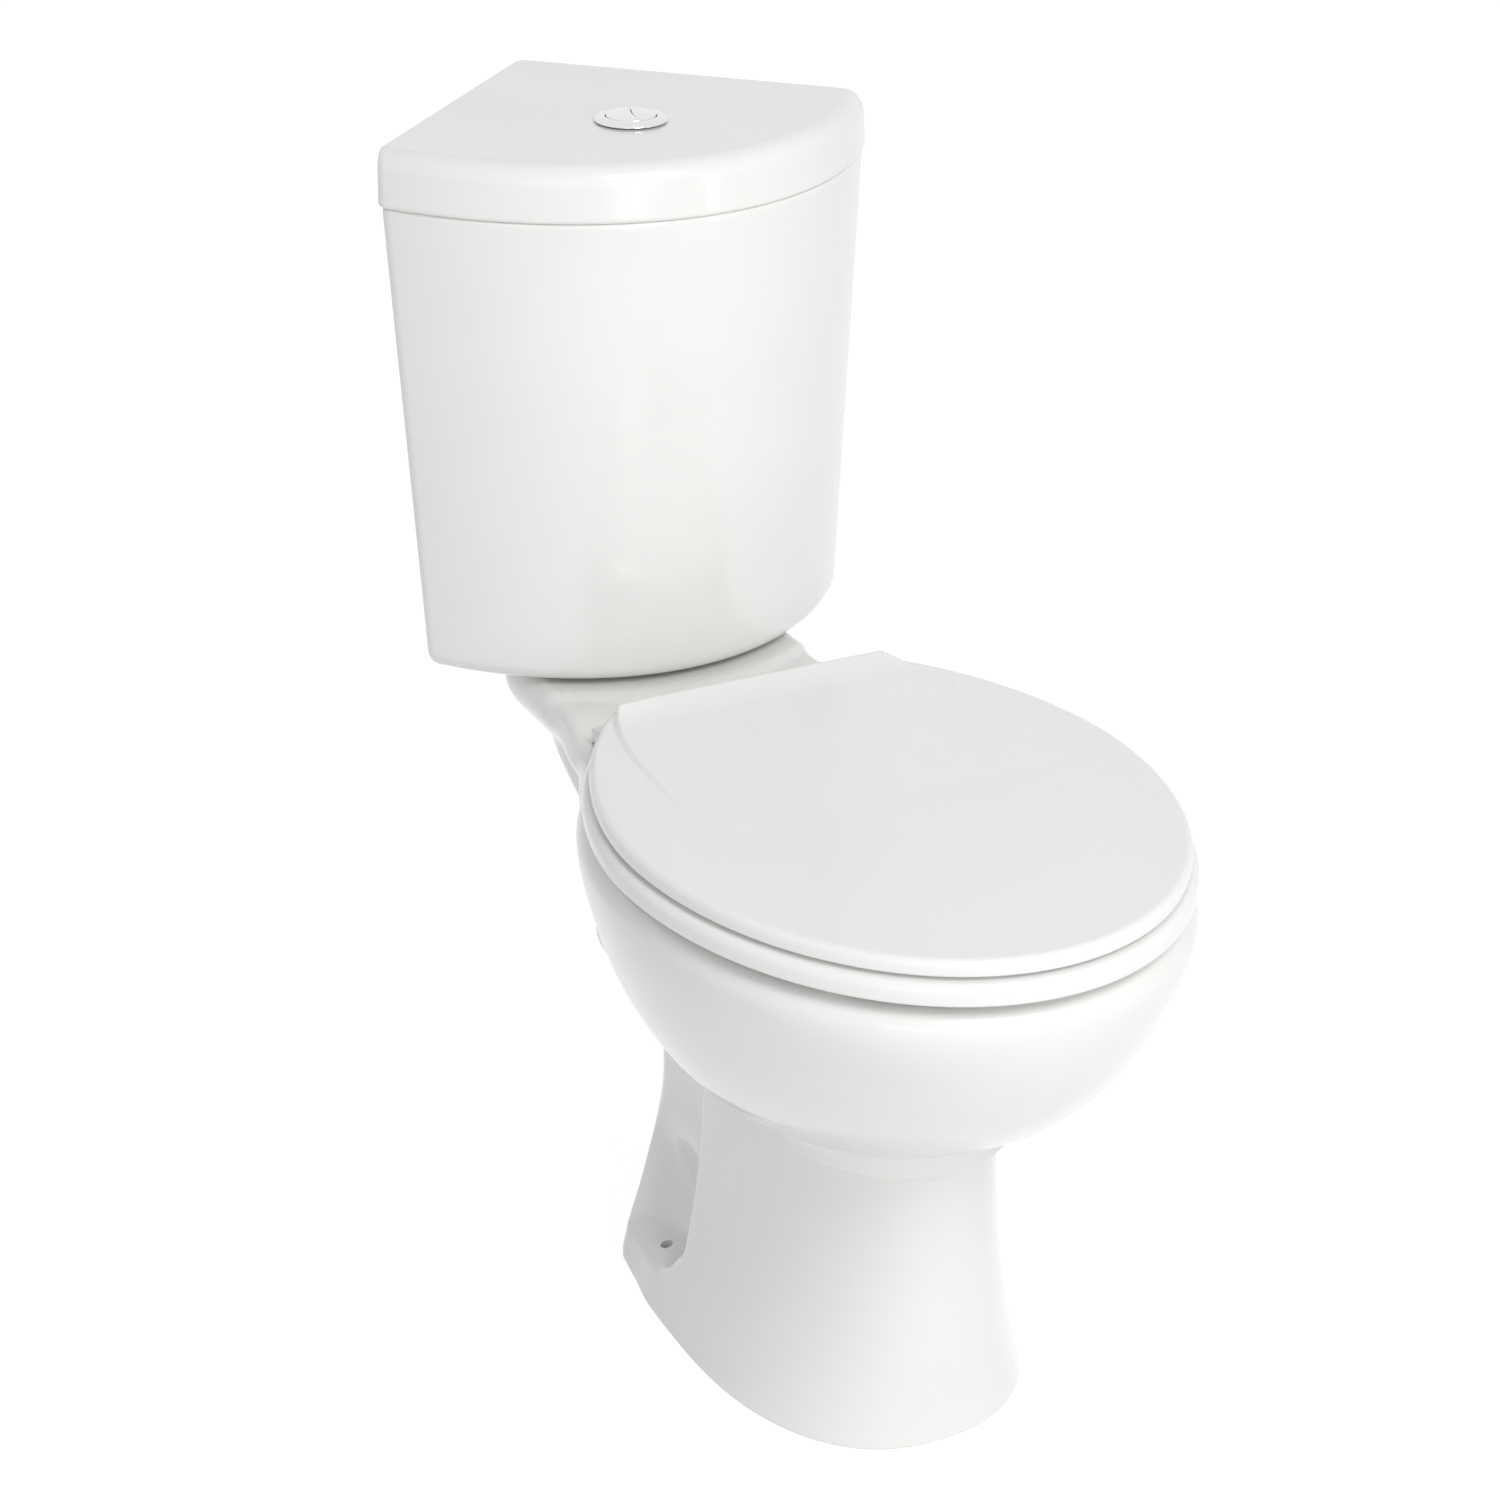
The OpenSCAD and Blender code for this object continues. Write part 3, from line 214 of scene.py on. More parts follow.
def block(name, loop, z0, z1, material=None, edge=0.8, dome=0.0, under=None, turn=None):
    """A solid with a flat outline, rounded edges at both ends and a top that may be slightly domed."""
    loop = np.asarray(loop, float)
    under = edge if under is None else under
    rings = []
    for r, base, way in ((under, z0, -1), (edge, z1, 1)):
        steps = arc(5, 90, 0) if way < 0 else arc(5, 0, 90)
        for a in steps if r > 0 else [0]:
            d = r * (1 - math.cos(a))
            z = base - way * r * (1 - math.sin(a))
            rings.append(np.c_[inset(loop, d), np.full(len(loop), z)])
    mid = loop.mean(0)
    last = rings[-1]
    if dome:
        for t in (0.9, 0.7, 0.5, 0.3, 0.15):
            xy = mid + (last[:, :2] - mid) * t
            rings.append(np.c_[xy, np.full(len(loop), z1 + dome * (1 - t * t))])
    verts, faces = grid(rings)
    if dome:
        verts[-1][2] = z1 + dome
    if turn is not None:
        verts = turn(verts)
    return make(name, verts, faces, material)


def place_in_scene(name, data):
    obj = bpy.data.objects.new(name, data)
    bpy.context.scene.collection.objects.link(obj)
    return obj


def modify(obj, kind, **settings):
    mod = obj.modifiers.new(kind.lower(), kind)
    for key, value in settings.items():
        setattr(mod, key, value)
    return mod


def baked(obj):
    """A plain mesh of what the modifiers make of the object. The modifiers are removed."""
    graph = bpy.context.evaluated_depsgraph_get()
    done = bpy.data.meshes.new_from_object(obj.evaluated_get(graph))
    obj.modifiers.clear()
    return done


def cut(obj, tools, how="DIFFERENCE"):
    """Cuts or joins the tools into obj and removes them."""
    for tool in tools:
        modify(obj, "BOOLEAN", operation=how, solver="MANIFOLD", object=tool)
        done, old = baked(obj), obj.data
        name = old.name
        obj.data = done
        bpy.data.meshes.remove(old)
        done.name = name
        drop(tool)
    return obj


def drop(obj):
    data = obj.data
    bpy.data.objects.remove(obj)
    bpy.data.meshes.remove(data)


def bar(x, y, z0, z1, d, d1=None):
    """A plain cutter or boss along Z, d wide, or d1 at its top."""
    r, r1 = d / 2, (d if d1 is None else d1) / 2
    return lathe("bar", [(0, z0), (r, z0), (r1, z1), (0, z1)], at=(x, y, 0), n=64)


def finish_piece(obj, body, *nodes):
    """Hides the CAD nodes that the piece stands for, and hangs the piece on the body it moves with."""
    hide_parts(*nodes)
    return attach(obj, body)


# ---- Shader expressions ----

class Sock:
    """A shader socket or a constant that can be used in Python expressions."""

    def __init__(self, tree, value):
        self.tree, self.value = tree, value

    def _node(self, op, *args):
        node = add_node(self.tree, "ShaderNodeMath", *args, settings={"operation": op})
        return Sock(self.tree, node.outputs[0])

    def __add__(self, b):
        return self._node("ADD", self, b)

    __radd__ = __add__

    def __rsub__(self, b):
        return self._node("SUBTRACT", b, self)

    def __mul__(self, b):
        return self._node("MULTIPLY", self, b)

    def step(self, low, high):
        """Rises smoothly from 0 at low to 1 at high."""
        node = add_node(self.tree, "ShaderNodeMapRange", Value=self, From_Min=low, From_Max=high,
                        settings={"interpolation_type": "SMOOTHSTEP"})
        return Sock(self.tree, node.outputs["Result"])


def add_node(tree, kind, *values, settings=None, **inputs):
    """The one way that nodes are made: settings first, then inputs in their order or by name."""
    node = tree.nodes.new(kind)
    for key, value in (settings or {}).items():
        setattr(node, key, value)
    for socket, value in zip(node.inputs, values):
        put(tree, value, socket)
    for key, value in inputs.items():
        put(tree, value, node.inputs[key.replace("_", " ")])
    return node


def put(tree, value, socket):
    """Links a socket, or sets a plain value."""
    if isinstance(value, Sock):
        value = value.value
    if isinstance(value, bpy.types.NodeSocket):
        tree.links.new(value, socket)
    else:
        socket.default_value = value


def blend_color(tree, factor, a, b):
    """Colour a where the factor is 0 and b where it is 1. Inputs 6 and 7 are the colours."""
    node = add_node(tree, "ShaderNodeMix", settings={"data_type": "RGBA"})
    put(tree, factor, node.inputs[0])
    put(tree, a, node.inputs[6])
    put(tree, b, node.inputs[7])
    return Sock(tree, node.outputs[2])


class Paint:
    """One procedural material: patterns in object coordinates, then one principled shader."""

    def __init__(self, name, **constants):
        self.mat = bpy.data.materials.new(name)
        self.mat.use_nodes = True
        self.tree = self.mat.node_tree
        self.tree.nodes.clear()
        self.coords = add_node(self.tree, "ShaderNodeTexCoord").outputs["Object"]
        self.shader = add_node(self.tree, "ShaderNodeBsdfPrincipled", **constants)
        add_node(self.tree, "ShaderNodeOutputMaterial", Surface=self.shader.outputs[0])

    def noise(self, scale, detail=2.0, rough=0.5, stretch=None):
        """Noise from 0 to 1; scale is in features per metre, and stretch weighs the axes."""
        coords = self.coords
        if stretch:
            coords = add_node(self.tree, "ShaderNodeVectorMath", coords, stretch,
                              settings={"operation": "MULTIPLY"}).outputs[0]
        node = add_node(self.tree, "ShaderNodeTexNoise", Scale=scale, Detail=detail,
                        Roughness=rough, Vector=coords)
        return Sock(self.tree, node.outputs["Fac"])

    def cells(self, scale):
        """Distance to the nearest of many scattered points."""
        node = add_node(self.tree, "ShaderNodeTexVoronoi", Scale=scale, Vector=self.coords)
        return Sock(self.tree, node.outputs["Distance"])

    def color(self, *stops):
        """First colour, then (factor, colour) pairs laid over it."""
        value = (*stops[0], 1.0)
        for factor, shade in stops[1:]:
            value = blend_color(self.tree, factor, value, (*shade, 1.0))
        put(self.tree, value, self.shader.inputs["Base Color"])

    def rough(self, value):
        put(self.tree, value, self.shader.inputs["Roughness"])

    def bump(self, height, distance, strength):
        """The last step: the relief. Gives back the finished material."""
        node = add_node(self.tree, "ShaderNodeBump", Strength=strength, Distance=distance,
                        Height=height)
        put(self.tree, node.outputs[0], self.shader.inputs["Normal"])
        return self.mat


def darker(tint, share):
    return tuple(c * share for c in tint)


def ceramic(name, tint):
    """Fired white glaze: a very slight mottle, faint pinholes, soft waviness and a clear coat."""
    p = Paint(name, IOR=1.5, Coat_Weight=0.55, Coat_Roughness=0.03, Coat_IOR=1.5)
    broad, fine = p.noise(9, 3), p.noise(160, 2)
    pinhole = 1 - p.cells(420).step(0.0, 0.05)
    mottle = broad.step(0.35, 0.7) * 0.55 + fine * 0.2
    p.color(tint, (mottle, darker(tint, 0.965)), (pinhole * 0.05, (0.55, 0.54, 0.5)))
    p.rough(0.17 + broad * 0.07 + fine * 0.04)
    return p.bump(broad * 0.8 + p.noise(55, 2) * 0.25 + fine * 0.04, 0.0011, 0.35)


def plastic(name, tint, rough=0.16, coat=0.35):
    """Moulded plastic: a fine grain, slight flow marks and a faint scuffing in its gloss."""
    p = Paint(name, IOR=1.49, Coat_Weight=coat, Coat_Roughness=0.06)
    flow, fine = p.noise(14, 3, 0.5, (1, 0.35, 1)), p.noise(900, 2)
    scuff = p.noise(60, 4, 0.65, (1, 1, 5)).step(0.62, 0.75)
    p.color(tint, (flow * 0.5, darker(tint, 0.97)), (scuff * 0.03, darker(tint, 0.8)))
    p.rough(rough + flow * 0.05 + scuff * 0.05 + fine * 0.02)
    return p.bump(fine * 0.5 + flow, 0.0002, 0.3)


def metal(name, tint, rough, brush=(1, 1, 1), scale=500, dull=(0.5, 0.48, 0.45)):
    """Plated or turned metal: tint shifts, fine brushing and small dull specks."""
    p = Paint(name, Metallic=1.0, Coat_Weight=0.1)
    streak, cloud = p.noise(scale, 3, 0.6, brush), p.noise(35, 3)
    speck = p.cells(260).step(0.12, 0.05)
    p.color(tint, (cloud * 0.4, darker(tint, 0.93)), (speck * 0.12, dull))
    p.rough(rough + streak * 0.07 + cloud * 0.05 + speck * 0.1)
    return p.bump(streak + speck * -0.5, 0.00012, 0.25)


def rubber(name, tint):
    """Moulded rubber: matt, dusty in patches, with a fine pebble."""
    p = Paint(name, IOR=1.5)
    dust, pebble = p.noise(45, 4, 0.6), p.cells(1400)
    dusty = tuple(min(1, c * 1.9 + 0.03) for c in tint)
    p.color(tint, (dust.step(0.45, 0.8) * 0.35, dusty))
    p.rough(0.55 + dust * 0.2)
    return p.bump(pebble + dust * 0.5, 0.0002, 0.4)


GLAZE = ceramic("glaze", (0.845, 0.845, 0.832))
SEAT = plastic("seat_plastic", (0.87, 0.87, 0.86))
HINGE = plastic("hinge_plastic", (0.76, 0.76, 0.75), 0.28)
WHITE = plastic("white_moulding", (0.78, 0.79, 0.79), 0.3, 0.1)
GREY = plastic("grey_moulding", (0.58, 0.62, 0.66), 0.34, 0.1)
BLUE = plastic("blue_moulding", (0.06, 0.17, 0.45), 0.32, 0.1)
CHROME = metal("chrome", (0.78, 0.79, 0.80), 0.07, (1, 1, 1), 120)
STEEL = metal("pin_steel", (0.62, 0.62, 0.63), 0.22, (0.2, 1, 1), 700)
BRASS = metal("brass", (0.80, 0.60, 0.30), 0.24, (1, 1, 4), 600, (0.35, 0.24, 0.14))
RUBBER = rubber("rubber", (0.035, 0.035, 0.037))
SOFT = rubber("bumper_rubber", (0.62, 0.62, 0.60))


# ---- Pan ----

# The collar is the step between foot and bowl. A half is measured from the middle to one side, and
# a reach from the middle of the seat to the front.
COLLAR = 213.0
BAND = 20.0
LIP = 6.0
BOWL_Z0, BOWL_Z1 = COLLAR + BAND - 2, RIM - 17
BOWL_HALF, BOWL_REACH = 187.0, 235.0
BOWL_WALL = 28
RIM_R = 15
FOOT_REACH = 112.0
FOOT_FLARE_TOP = COLLAR + 60
COLLAR_HALF = 87 + LIP
COLLAR_REACH = FOOT_REACH - 5 + LIP
COLUMN_HALF = 70
PLATFORM_BACK = VALVE_Y + 52
COLUMN_BACK = HINGE_Y + 6
SCREW_X = 87

# Inside: the opening in the rim, the throat, the water's well, the trapway and the outlet.
OPENING = (143, 191, 128)
RIM_UNDER = 363
THROAT = 240.0
WELL_TOP = 118
WELL_R = 40
WELL_Y = SEAT_Y - 4
TRAP_D = 66
CHANNEL_Z = RIM - 50
OUTLET_Z = 190.0
OUTLET_D = 84
SPIGOT_R = 51
SPIGOT_END = 176


def bowl_open(z):
    """How far the bowl has widened at level z, from 0 at the collar to 1 under the rim."""
    return (1 - (1 - unit((z - BOWL_Z0) / (BOWL_Z1 - BOWL_Z0))) ** 1.6) ** 0.62


def rim_in(z):
    """How far the rim's rounding has drawn the side in at level z."""
    d = max(0.0, z - (RIM - RIM_R))
    return RIM_R - math.sqrt(max(0.0, RIM_R ** 2 - d * d))


def cove(z):
    """How far the band above the collar's edge is drawn in."""
    return 5 * ease((z - COLLAR) / 14) * (1 - ease((z - COLLAR - 16) / 30))


def bowl_half(z):
    return mix(COLLAR_HALF, BOWL_HALF, bowl_open(z)) - rim_in(z) - cove(z)


def bowl_front(z):
    """The front starts later than the sides just above the collar."""
    out = bowl_open(z)
    later = out ** (1.12 + 0.9 * (1 - out) ** 3)
    return mix(COLLAR_REACH, BOWL_REACH, later) - rim_in(z) - cove(z)


def bowl_back(z):
    return mix(255.0, BOWL_REACH, bowl_open(z))


def egg(y, half, front, back, n):
    """Half width at y of an egg outline: n is 2 for ellipses and more for fuller ones."""
    r = np.minimum(1.0, np.abs(y) / np.where(y < 0, front, back))
    return half * (1 - r ** n) ** (1 / n)


def round_end(y, end, run):
    """1, falling to 0 at the end on an ellipse that is run long."""
    return np.where(y > end - run, np.sqrt(np.maximum(0, 1 - ((y - end + run) / run) ** 2)), 1.0)


def pan_back(z):
    return mix(COLUMN_BACK, PLATFORM_BACK, ease((z - THROAT + 5) / 105))


def rear_half(y, z):
    """The part behind the bowl, from the column up to the platform that carries the tank."""
    platform = 108 + 14.3 * (1 - ease((y - 44.6) / 80))
    body = mix(COLUMN_HALF, platform, ease((z - RIM + 72) / 60)) - 0.9 * rim_in(z)
    run = mix(26.0, 70.0, ease((z - THROAT + 5) / 95))
    return body * round_end(y, pan_back(z), run) ** 0.8 * ease((y + 96.4) / 108.7)


def column_half(y, z):
    """The column behind the pedestal flares to the foot, and is hollowed above the screw's ledge."""
    beside = unit(1 - ((y - COLUMN_BACK + 70) / 42) ** 2)
    low = 1 - unit(z / 150)
    flare = 35 * (0.75 * low ** 1.5 + 0.25 * ease(low * 1.2)) + 2 * (1 - ease((z - 20) / 40))
    hollow = 26 * ease((z - 23) / 12) * (1 - ease((z - 60) / 70)) * beside ** 0.8
    return COLUMN_HALF + flare - hollow


def foot_flare(z):
    return (1 - unit(z / FOOT_FLARE_TOP)) ** 2.6


def foot_front(z):
    return mix(FOOT_REACH - 6, FOOT_REACH, foot_flare(z))


def foot_half(y, z):
    """The pedestal's shell, notched behind a crease by the column, with a ledge for the screws."""
    flare = foot_flare(z)
    middle = 62
    shell = egg(y - SEAT_Y - middle, mix(85.0, 115.5, flare), foot_front(z) + middle, 260.0,
                mix(2.1, 2.33, flare))
    ledge = 1 - ease((z - 22) / 16)
    crease = COLUMN_BACK - 128 + 34 * (1 - ease((z - 12) / 50))
    notch = ease((y - crease) / 22) * (1 - ledge)
    column = column_half(y, z)
    side = mix(shell, np.minimum(shell, column), notch)
    behind = mix(side, column, ease((y - crease) / 60)) * round_end(y, COLUMN_BACK, 36.0) ** 0.8
    edge = 1 - math.sqrt(1 - (1 - unit(z / 13)) ** 2)
    tuck = 4 * edge * ease((y - COLUMN_BACK + 55) / 30)
    return np.maximum(0, np.minimum(side, behind) - tuck)


def pan_half(y, z):
    if z < COLLAR:
        return foot_half(y, z)
    fullness = mix(1.97, 2.1, ease((z - 340) / 50))
    bowl = egg(y - SEAT_Y, bowl_half(z), bowl_front(z), bowl_back(z), fullness)
    k = mix(31.8, 41.3, ease((z - 300) / 80)) * unit((PLATFORM_BACK - y) / 60) + 0.01
    return soft_max(bowl, rear_half(y, z), k)


def pan_front(z):
    return SEAT_Y - (foot_front(z) if z < COLLAR else bowl_front(z))


def front_to_back(n, front, back):
    """Places along Y, closer together towards both ends."""
    return mix(front, back, (1 - np.cos(np.pi * np.arange(n + 1) / n)) / 2)


def both_sides(x, y, z):
    """A closed outline from its right half, with its ends on the middle line."""
    x[0] = x[-1] = 0
    right = np.stack([x, y, np.full_like(x, z)], 1)
    return np.concatenate([right, right[-2:0:-1] * np.array([-1, 1, 1])])


def pan_ring(z):
    """The pan's outline at level z."""
    y = front_to_back(190, pan_front(z), pan_back(z))
    return both_sides(pan_half(np.clip(y, pan_front(z) + 1e-6, pan_back(z) - 1e-6), z), y, z)


def foot_hollow(z):
    """The outline of the hollow in the foot, which leaves a wall of 12 mm."""
    y = front_to_back(40, pan_front(z) + 12, COLUMN_BACK - 8)
    return both_sides(np.maximum(0.5, np.minimum(foot_half(y, z), foot_half(y, 60.0)) - 12), y, z)


def bowl_ring(angles, z, half, front, back, yc):
    c, s = np.cos(angles), np.sin(angles)
    return np.stack([half * np.sign(c) * np.abs(c) ** 0.97,
                     yc + np.where(s < 0, front, back) * np.sign(s) * np.abs(s) ** 0.97,
                     np.full_like(c, z)], 1)


def opening_ring(angles, z, more=0.0):
    half, front, back = (size + more for size in OPENING)
    return bowl_ring(angles, z, half, front, back, SEAT_Y)


def bowl_inner(angles, z):
    """The bowl's inside, a wall within the outside, drawn together to the well under the throat."""
    u = max(z, THROAT)
    k = unit((THROAT - z) / (THROAT - WELL_TOP)) ** 0.7
    back = mix(100.0, 136.0, (u - THROAT) / (CHANNEL_Z - THROAT))
    half, front, back = (mix(size, WELL_R, k) for size in
                         (bowl_half(u) - BOWL_WALL, bowl_front(u) - BOWL_WALL, back))
    return bowl_ring(angles, z, half, front, back, mix(SEAT_Y, WELL_Y, k))


def along_y(name, y0, y1, z, d):
    """A plain cutter along Y."""
    return lathe(name, [(0, y0), (d / 2, y0), (d / 2, y1), (0, y1)], at=(0, 0, z), axis="y")


def trap(length, d):
    """The trapway's rise from the well to the outlet, made longer at its top."""
    low, high = np.array([0, SEAT_Y + 40, 88.0]), np.array([0, COLUMN_BACK - 40, OUTLET_Z + 14])
    rise = np.linalg.norm(high - low)
    way = (high - low) / rise
    side = np.array([1.0, 0, 0])
    a = np.linspace(0, 2 * math.pi, 72, endpoint=False)[:, None]
    ring = (side * np.cos(a) + np.cross(way, side) * np.sin(a)) * d / 2
    return skin("trap", [low + way * t + ring for t in np.linspace(0.0, rise + length, 9)])


def pan_outside():
    """Outlines from the foot's rounded edge up to the rim. Round the collar they are blended."""
    rings = []
    middle = np.array([0, SEAT_Y + 60, 0])
    for a in arc(5, 0, 90):
        ring = pan_ring(2 * (1 - math.cos(a)))
        way = ring - middle
        way[:, 2] = 0
        d = 2 * (1 - math.sin(a))
        rings.append(ring - way / (np.linalg.norm(way, axis=1)[:, None] + 1e-9) * d)
    rings += [pan_ring(z) for z in (3.0, 4.5, 6.5, 9.0, 12.0, 15.0, 18.0, *np.arange(20.5, 41, 1.5),
                                    *np.arange(43.5, 60, 3.5), *np.arange(62, COLLAR - 9, 9.0))]
    levels = np.arange(COLLAR - 28, COLLAR + 90, 0.5)
    bowls = np.array([pan_ring(max(z, COLLAR)) for z in levels])
    spread = 7.5
    for z in (*np.arange(COLLAR - 6, COLLAR + 6, 0.8), *np.arange(COLLAR + 6, COLLAR + 34, 1.2),
              *np.arange(COLLAR + 34, COLLAR + 60, 2.5)):
        weight = np.exp(-((levels - z) / spread) ** 2 / 2)
        foot, bowl = pan_ring(min(z, COLLAR - 0.01)), np.tensordot(weight / weight.sum(), bowls, 1)
        ring = mix(foot, bowl, ease((z - COLLAR + 4) / 6))
        ring[:, 2] = z
        rings.append(ring)
    rings += [pan_ring(z) for z in np.arange(COLLAR + 62, RIM - RIM_R - 1, 4.0)]
    return rings + [pan_ring(RIM - RIM_R + RIM_R * math.sin(a)) for a in arc(12, 4, 90)]


def pan_inside(top, on_top):
    """Outlines from the outer edge over the rim, round its ledge and down into the well."""
    angles = np.arctan2(top[:, 1] - SEAT_Y, top[:, 0])
    edge_r, lip_r = 5, 4
    opening = opening_ring(angles, RIM, edge_r)
    rings = [top + (opening - top) * t for t in np.linspace(0, 1, on_top + 1)[1:]]
    rings += [opening_ring(angles, RIM - edge_r * (1 - math.cos(a)), edge_r * (1 - math.sin(a)))
              for a in arc(6, 15, 90)]
    rings += [opening_ring(angles, z) for z in (392, 380, 368, RIM_UNDER)]
    rings += [opening_ring(angles, RIM_UNDER - lip_r * math.sin(a), lip_r * (1 - math.cos(a)))
              for a in arc(4, 20, 90)]
    wall_top = RIM_UNDER - 19.0
    roof, wall = opening_ring(angles, RIM_UNDER - lip_r, lip_r), bowl_inner(angles, wall_top)
    for a in arc(5, 70, 0):
        ring = roof + (wall - roof) * math.cos(a)
        ring[:, 2] = wall_top + 14.5 * math.sin(a)
        rings.append(ring)
    well = 70
    rings += [bowl_inner(angles, z)
              for z in (*np.arange(340, 120, -10.0), WELL_TOP, 112, 104, 95, 84, 76, well)]
    for a in arc(5, 10, 85):
        r = WELL_R - 8 * (1 - math.cos(a))
        rings.append(bowl_ring(angles, well - 8 * math.sin(a), r, r, r, WELL_Y))
    return rings + [bowl_ring(angles, 62, r, r, r, WELL_Y) for r in (26, 14)]


def raise_platform(rings):
    """Lifts the rim by 4 mm where the tank stands, with a soft step along the tank's front."""
    for ring in rings:
        high = ring[:, 2] > RIM - 26
        x, y = ring[high, 0], ring[high, 1]
        inner_x = np.clip(x, 1 - FOOT_HALF, FOOT_HALF - 1)
        tank_front = arc_front(inner_x, FOOT_HALF, FOOT_BULGE, FOOT_WIDE, FOOT_ENDS)
        step = ease((y - tank_front + 19) / 13)
        ring[high, 2] += (PAD_Z - RIM) * step * ease((ring[high, 2] - RIM + 26) / 24)


def spigot_and_boss():
    """The outlet's spigot and the swelling that it grows from: radius and edge at their back ends."""
    for name, y0, y1, r0, r1, edge in (
            ("boss", COLUMN_BACK - 20, COLUMN_BACK + 70, 68, 53, 3),
            ("spigot", COLUMN_BACK - 60, SPIGOT_END, SPIGOT_R, SPIGOT_R, 2.0)):
        profile = soften([(0, y0), (r0, y0), (r1, y1), (0, y1)], [0, 0, edge, 0], 5, False)
        yield lathe(name, profile, at=(0, 0, OUTLET_Z), axis="y")


def pedestal_space():
    """The hollow in the foot, less the walls round the well, the trapway and the outlet."""
    levels = (-1.0, 15.0, 30.0, 45.0, 60.0, 80.0, 100.0, 125.0, 165.0)
    space = skin("hollow", [foot_hollow(z) for z in levels])
    return cut(space, [bar(0, WELL_Y, 50, 180, 96, 152), trap(20, TRAP_D + 24),
                       along_y("sleeve", SEAT_Y + 132, SEAT_Y + 232, OUTLET_Z, OUTLET_D + 24)])


def platform_space():
    """The space under the platform's plate, less the walls round the channel to the valve."""
    wide, low, deep = 92.0, 56.0, 49
    right = [(low, -deep), (low + 12, -32), (wide - 5, -14), (wide, 0)]
    left = [(-x, z) for x, z in right[::-1]]
    loop = [(x, PLATE_UNDER + z) for x, z in left[1:] + right + left[:1]]
    space = block("space", soften(loop, 4, 4), HINGE_Y - 26, PLATFORM_BACK + 30, edge=0,
                  turn=lambda v: v[:, [0, 2, 1]])
    core = 35 + 12
    bottom, top = PLATE_UNDER - 60, PLATE_UNDER + 1
    web = [(-core, 0), (core, 0), (core, VALVE_Y), (-core, VALVE_Y)]
    return cut(space, [bar(0, VALVE_Y, bottom, top, 2 * core), block("web", web, bottom, top, edge=0)])


def build_pan():
    on_top = 40
    outside = pan_outside()
    inside = pan_inside(outside[-1], on_top)
    raise_platform(outside + inside[:on_top])
    pan = split_quads(skin("ceramic_pan", outside + inside, GLAZE))
    cut(pan, list(spigot_and_boss()), "UNION")
    tools = [pedestal_space(), platform_space(), bar(0, VALVE_Y, RIM - 69, PAD_Z + 1, 70),
             along_y("channel", SEAT_Y + 98, VALVE_Y, CHANNEL_Z, 36), trap(0, TRAP_D),
             along_y("outlet", SEAT_Y + 146, SPIGOT_END + 1, OUTLET_Z, OUTLET_D)]
    for s in (-1, 1):
        tools += [bar(s * SCREW_X, COLUMN_BACK - 70, -1, 79, 9),
                  bar(s * BOLT_X, VALVE_Y, PLATE_UNDER - 3, RIM + 20, 11),
                  bar(s * STUD_X, HINGE_Y, PLATE_UNDER - 3, RIM + 20, 13)]
    cut(pan, tools)
    finish_piece(settle(pan, GLAZE, 52), "base", "pan")


# ---- Cistern and lid ----

WALL = 11


def arc_front(x, half, bulge, wide, ends):
    """The curved front: an ellipse wide at its middle, through the ends, that bulges by so much."""
    rise = math.sqrt(1 - (half / wide) ** 2)
    b = bulge / (1 - rise)
    return ends + b * rise - b * np.sqrt(np.maximum(0, 1 - (x / wide) ** 2))


def corner_outline(half, bulge, wide, apex, in_f, in_b, z):
    """Corner piece seen from above: two back sides at 45 degrees, round corners, curved front.

    It is drawn in by in_f at the front and by in_b at the back sides."""
    steps, fine, corner = 72, 8, 9.0
    h = half + 0.385 * corner - 0.7225 * in_f - 0.557 * in_b
    a = apex - math.sqrt(2) * in_b
    ends = a - h
    bulge_in, wide_in = ends - (apex - half - bulge + in_f), wide - in_f
    rise = math.sqrt(1 - (h / wide_in) ** 2)
    slope = bulge_in / (1 - rise) * h / (wide_in * wide_in * rise)
    r = max(3.0, corner - in_f / 2)
    hx = h - r / math.hypot(1, slope)
    p0, p1 = np.array([h - r / math.sqrt(2), ends + r / math.sqrt(2)]), np.array([h, ends])
    p2 = np.array([hx, arc_front(hx, h, bulge_in, wide_in, ends)])
    bend = [p0 * (1 - t) ** 2 + p1 * 2 * t * (1 - t) + p2 * t * t for t in np.linspace(0, 1, fine + 1)]
    apex_arc = [(-APEX_R * math.sin(t), a - APEX_R * math.sqrt(2) + APEX_R * math.cos(t))
                for t in arc(fine, -45, 45)]
    x0, y0 = apex_arc[-1]
    side = [(x0 + (-bend[0][0] - x0) * k / 6, y0 + (bend[0][1] - y0) * k / 6) for k in range(1, 6)]
    front = [(x, arc_front(x, h, bulge_in, wide_in, ends))
             for x in -hx * np.cos(np.pi * np.arange(1, steps) / steps)]
    loop = (apex_arc + side + [(-x, y) for x, y in bend] + front
            + bend[::-1] + [(-x, y) for x, y in side[::-1]])
    return np.array([(x, y, z) for x, y in loop])


def tank_ring(z, in_f, in_b):
    t = (z - TANK_Z) / TANK_HEIGHT
    return corner_outline(mix(FOOT_HALF, 183.5, t), mix(FOOT_BULGE, 118.0, t), mix(FOOT_WIDE, 256.0, t),
                          mix(FOOT_APEX, TANK_APEX, t), in_f, in_b, z)


def lid_ring(z, in_f, in_b):
    return corner_outline(186.0, 119.0, 256.0, APEX_Y, in_f, in_b, z)


def shrink(ring, t):
    mid = ring.mean(0)
    out = mid + (ring - mid) * t
    out[:, 2] = ring[:, 2]
    return out


def rounding(ring, z, r, angles, drawn=0, way=1):
    """Outlines round an edge of radius r that starts at level z, drawn in by so much more."""
    out = []
    for a in angles:
        d = drawn + way * r * (1 - math.cos(a))
        out.append(ring(z + r * math.sin(a), d, d))
    return out


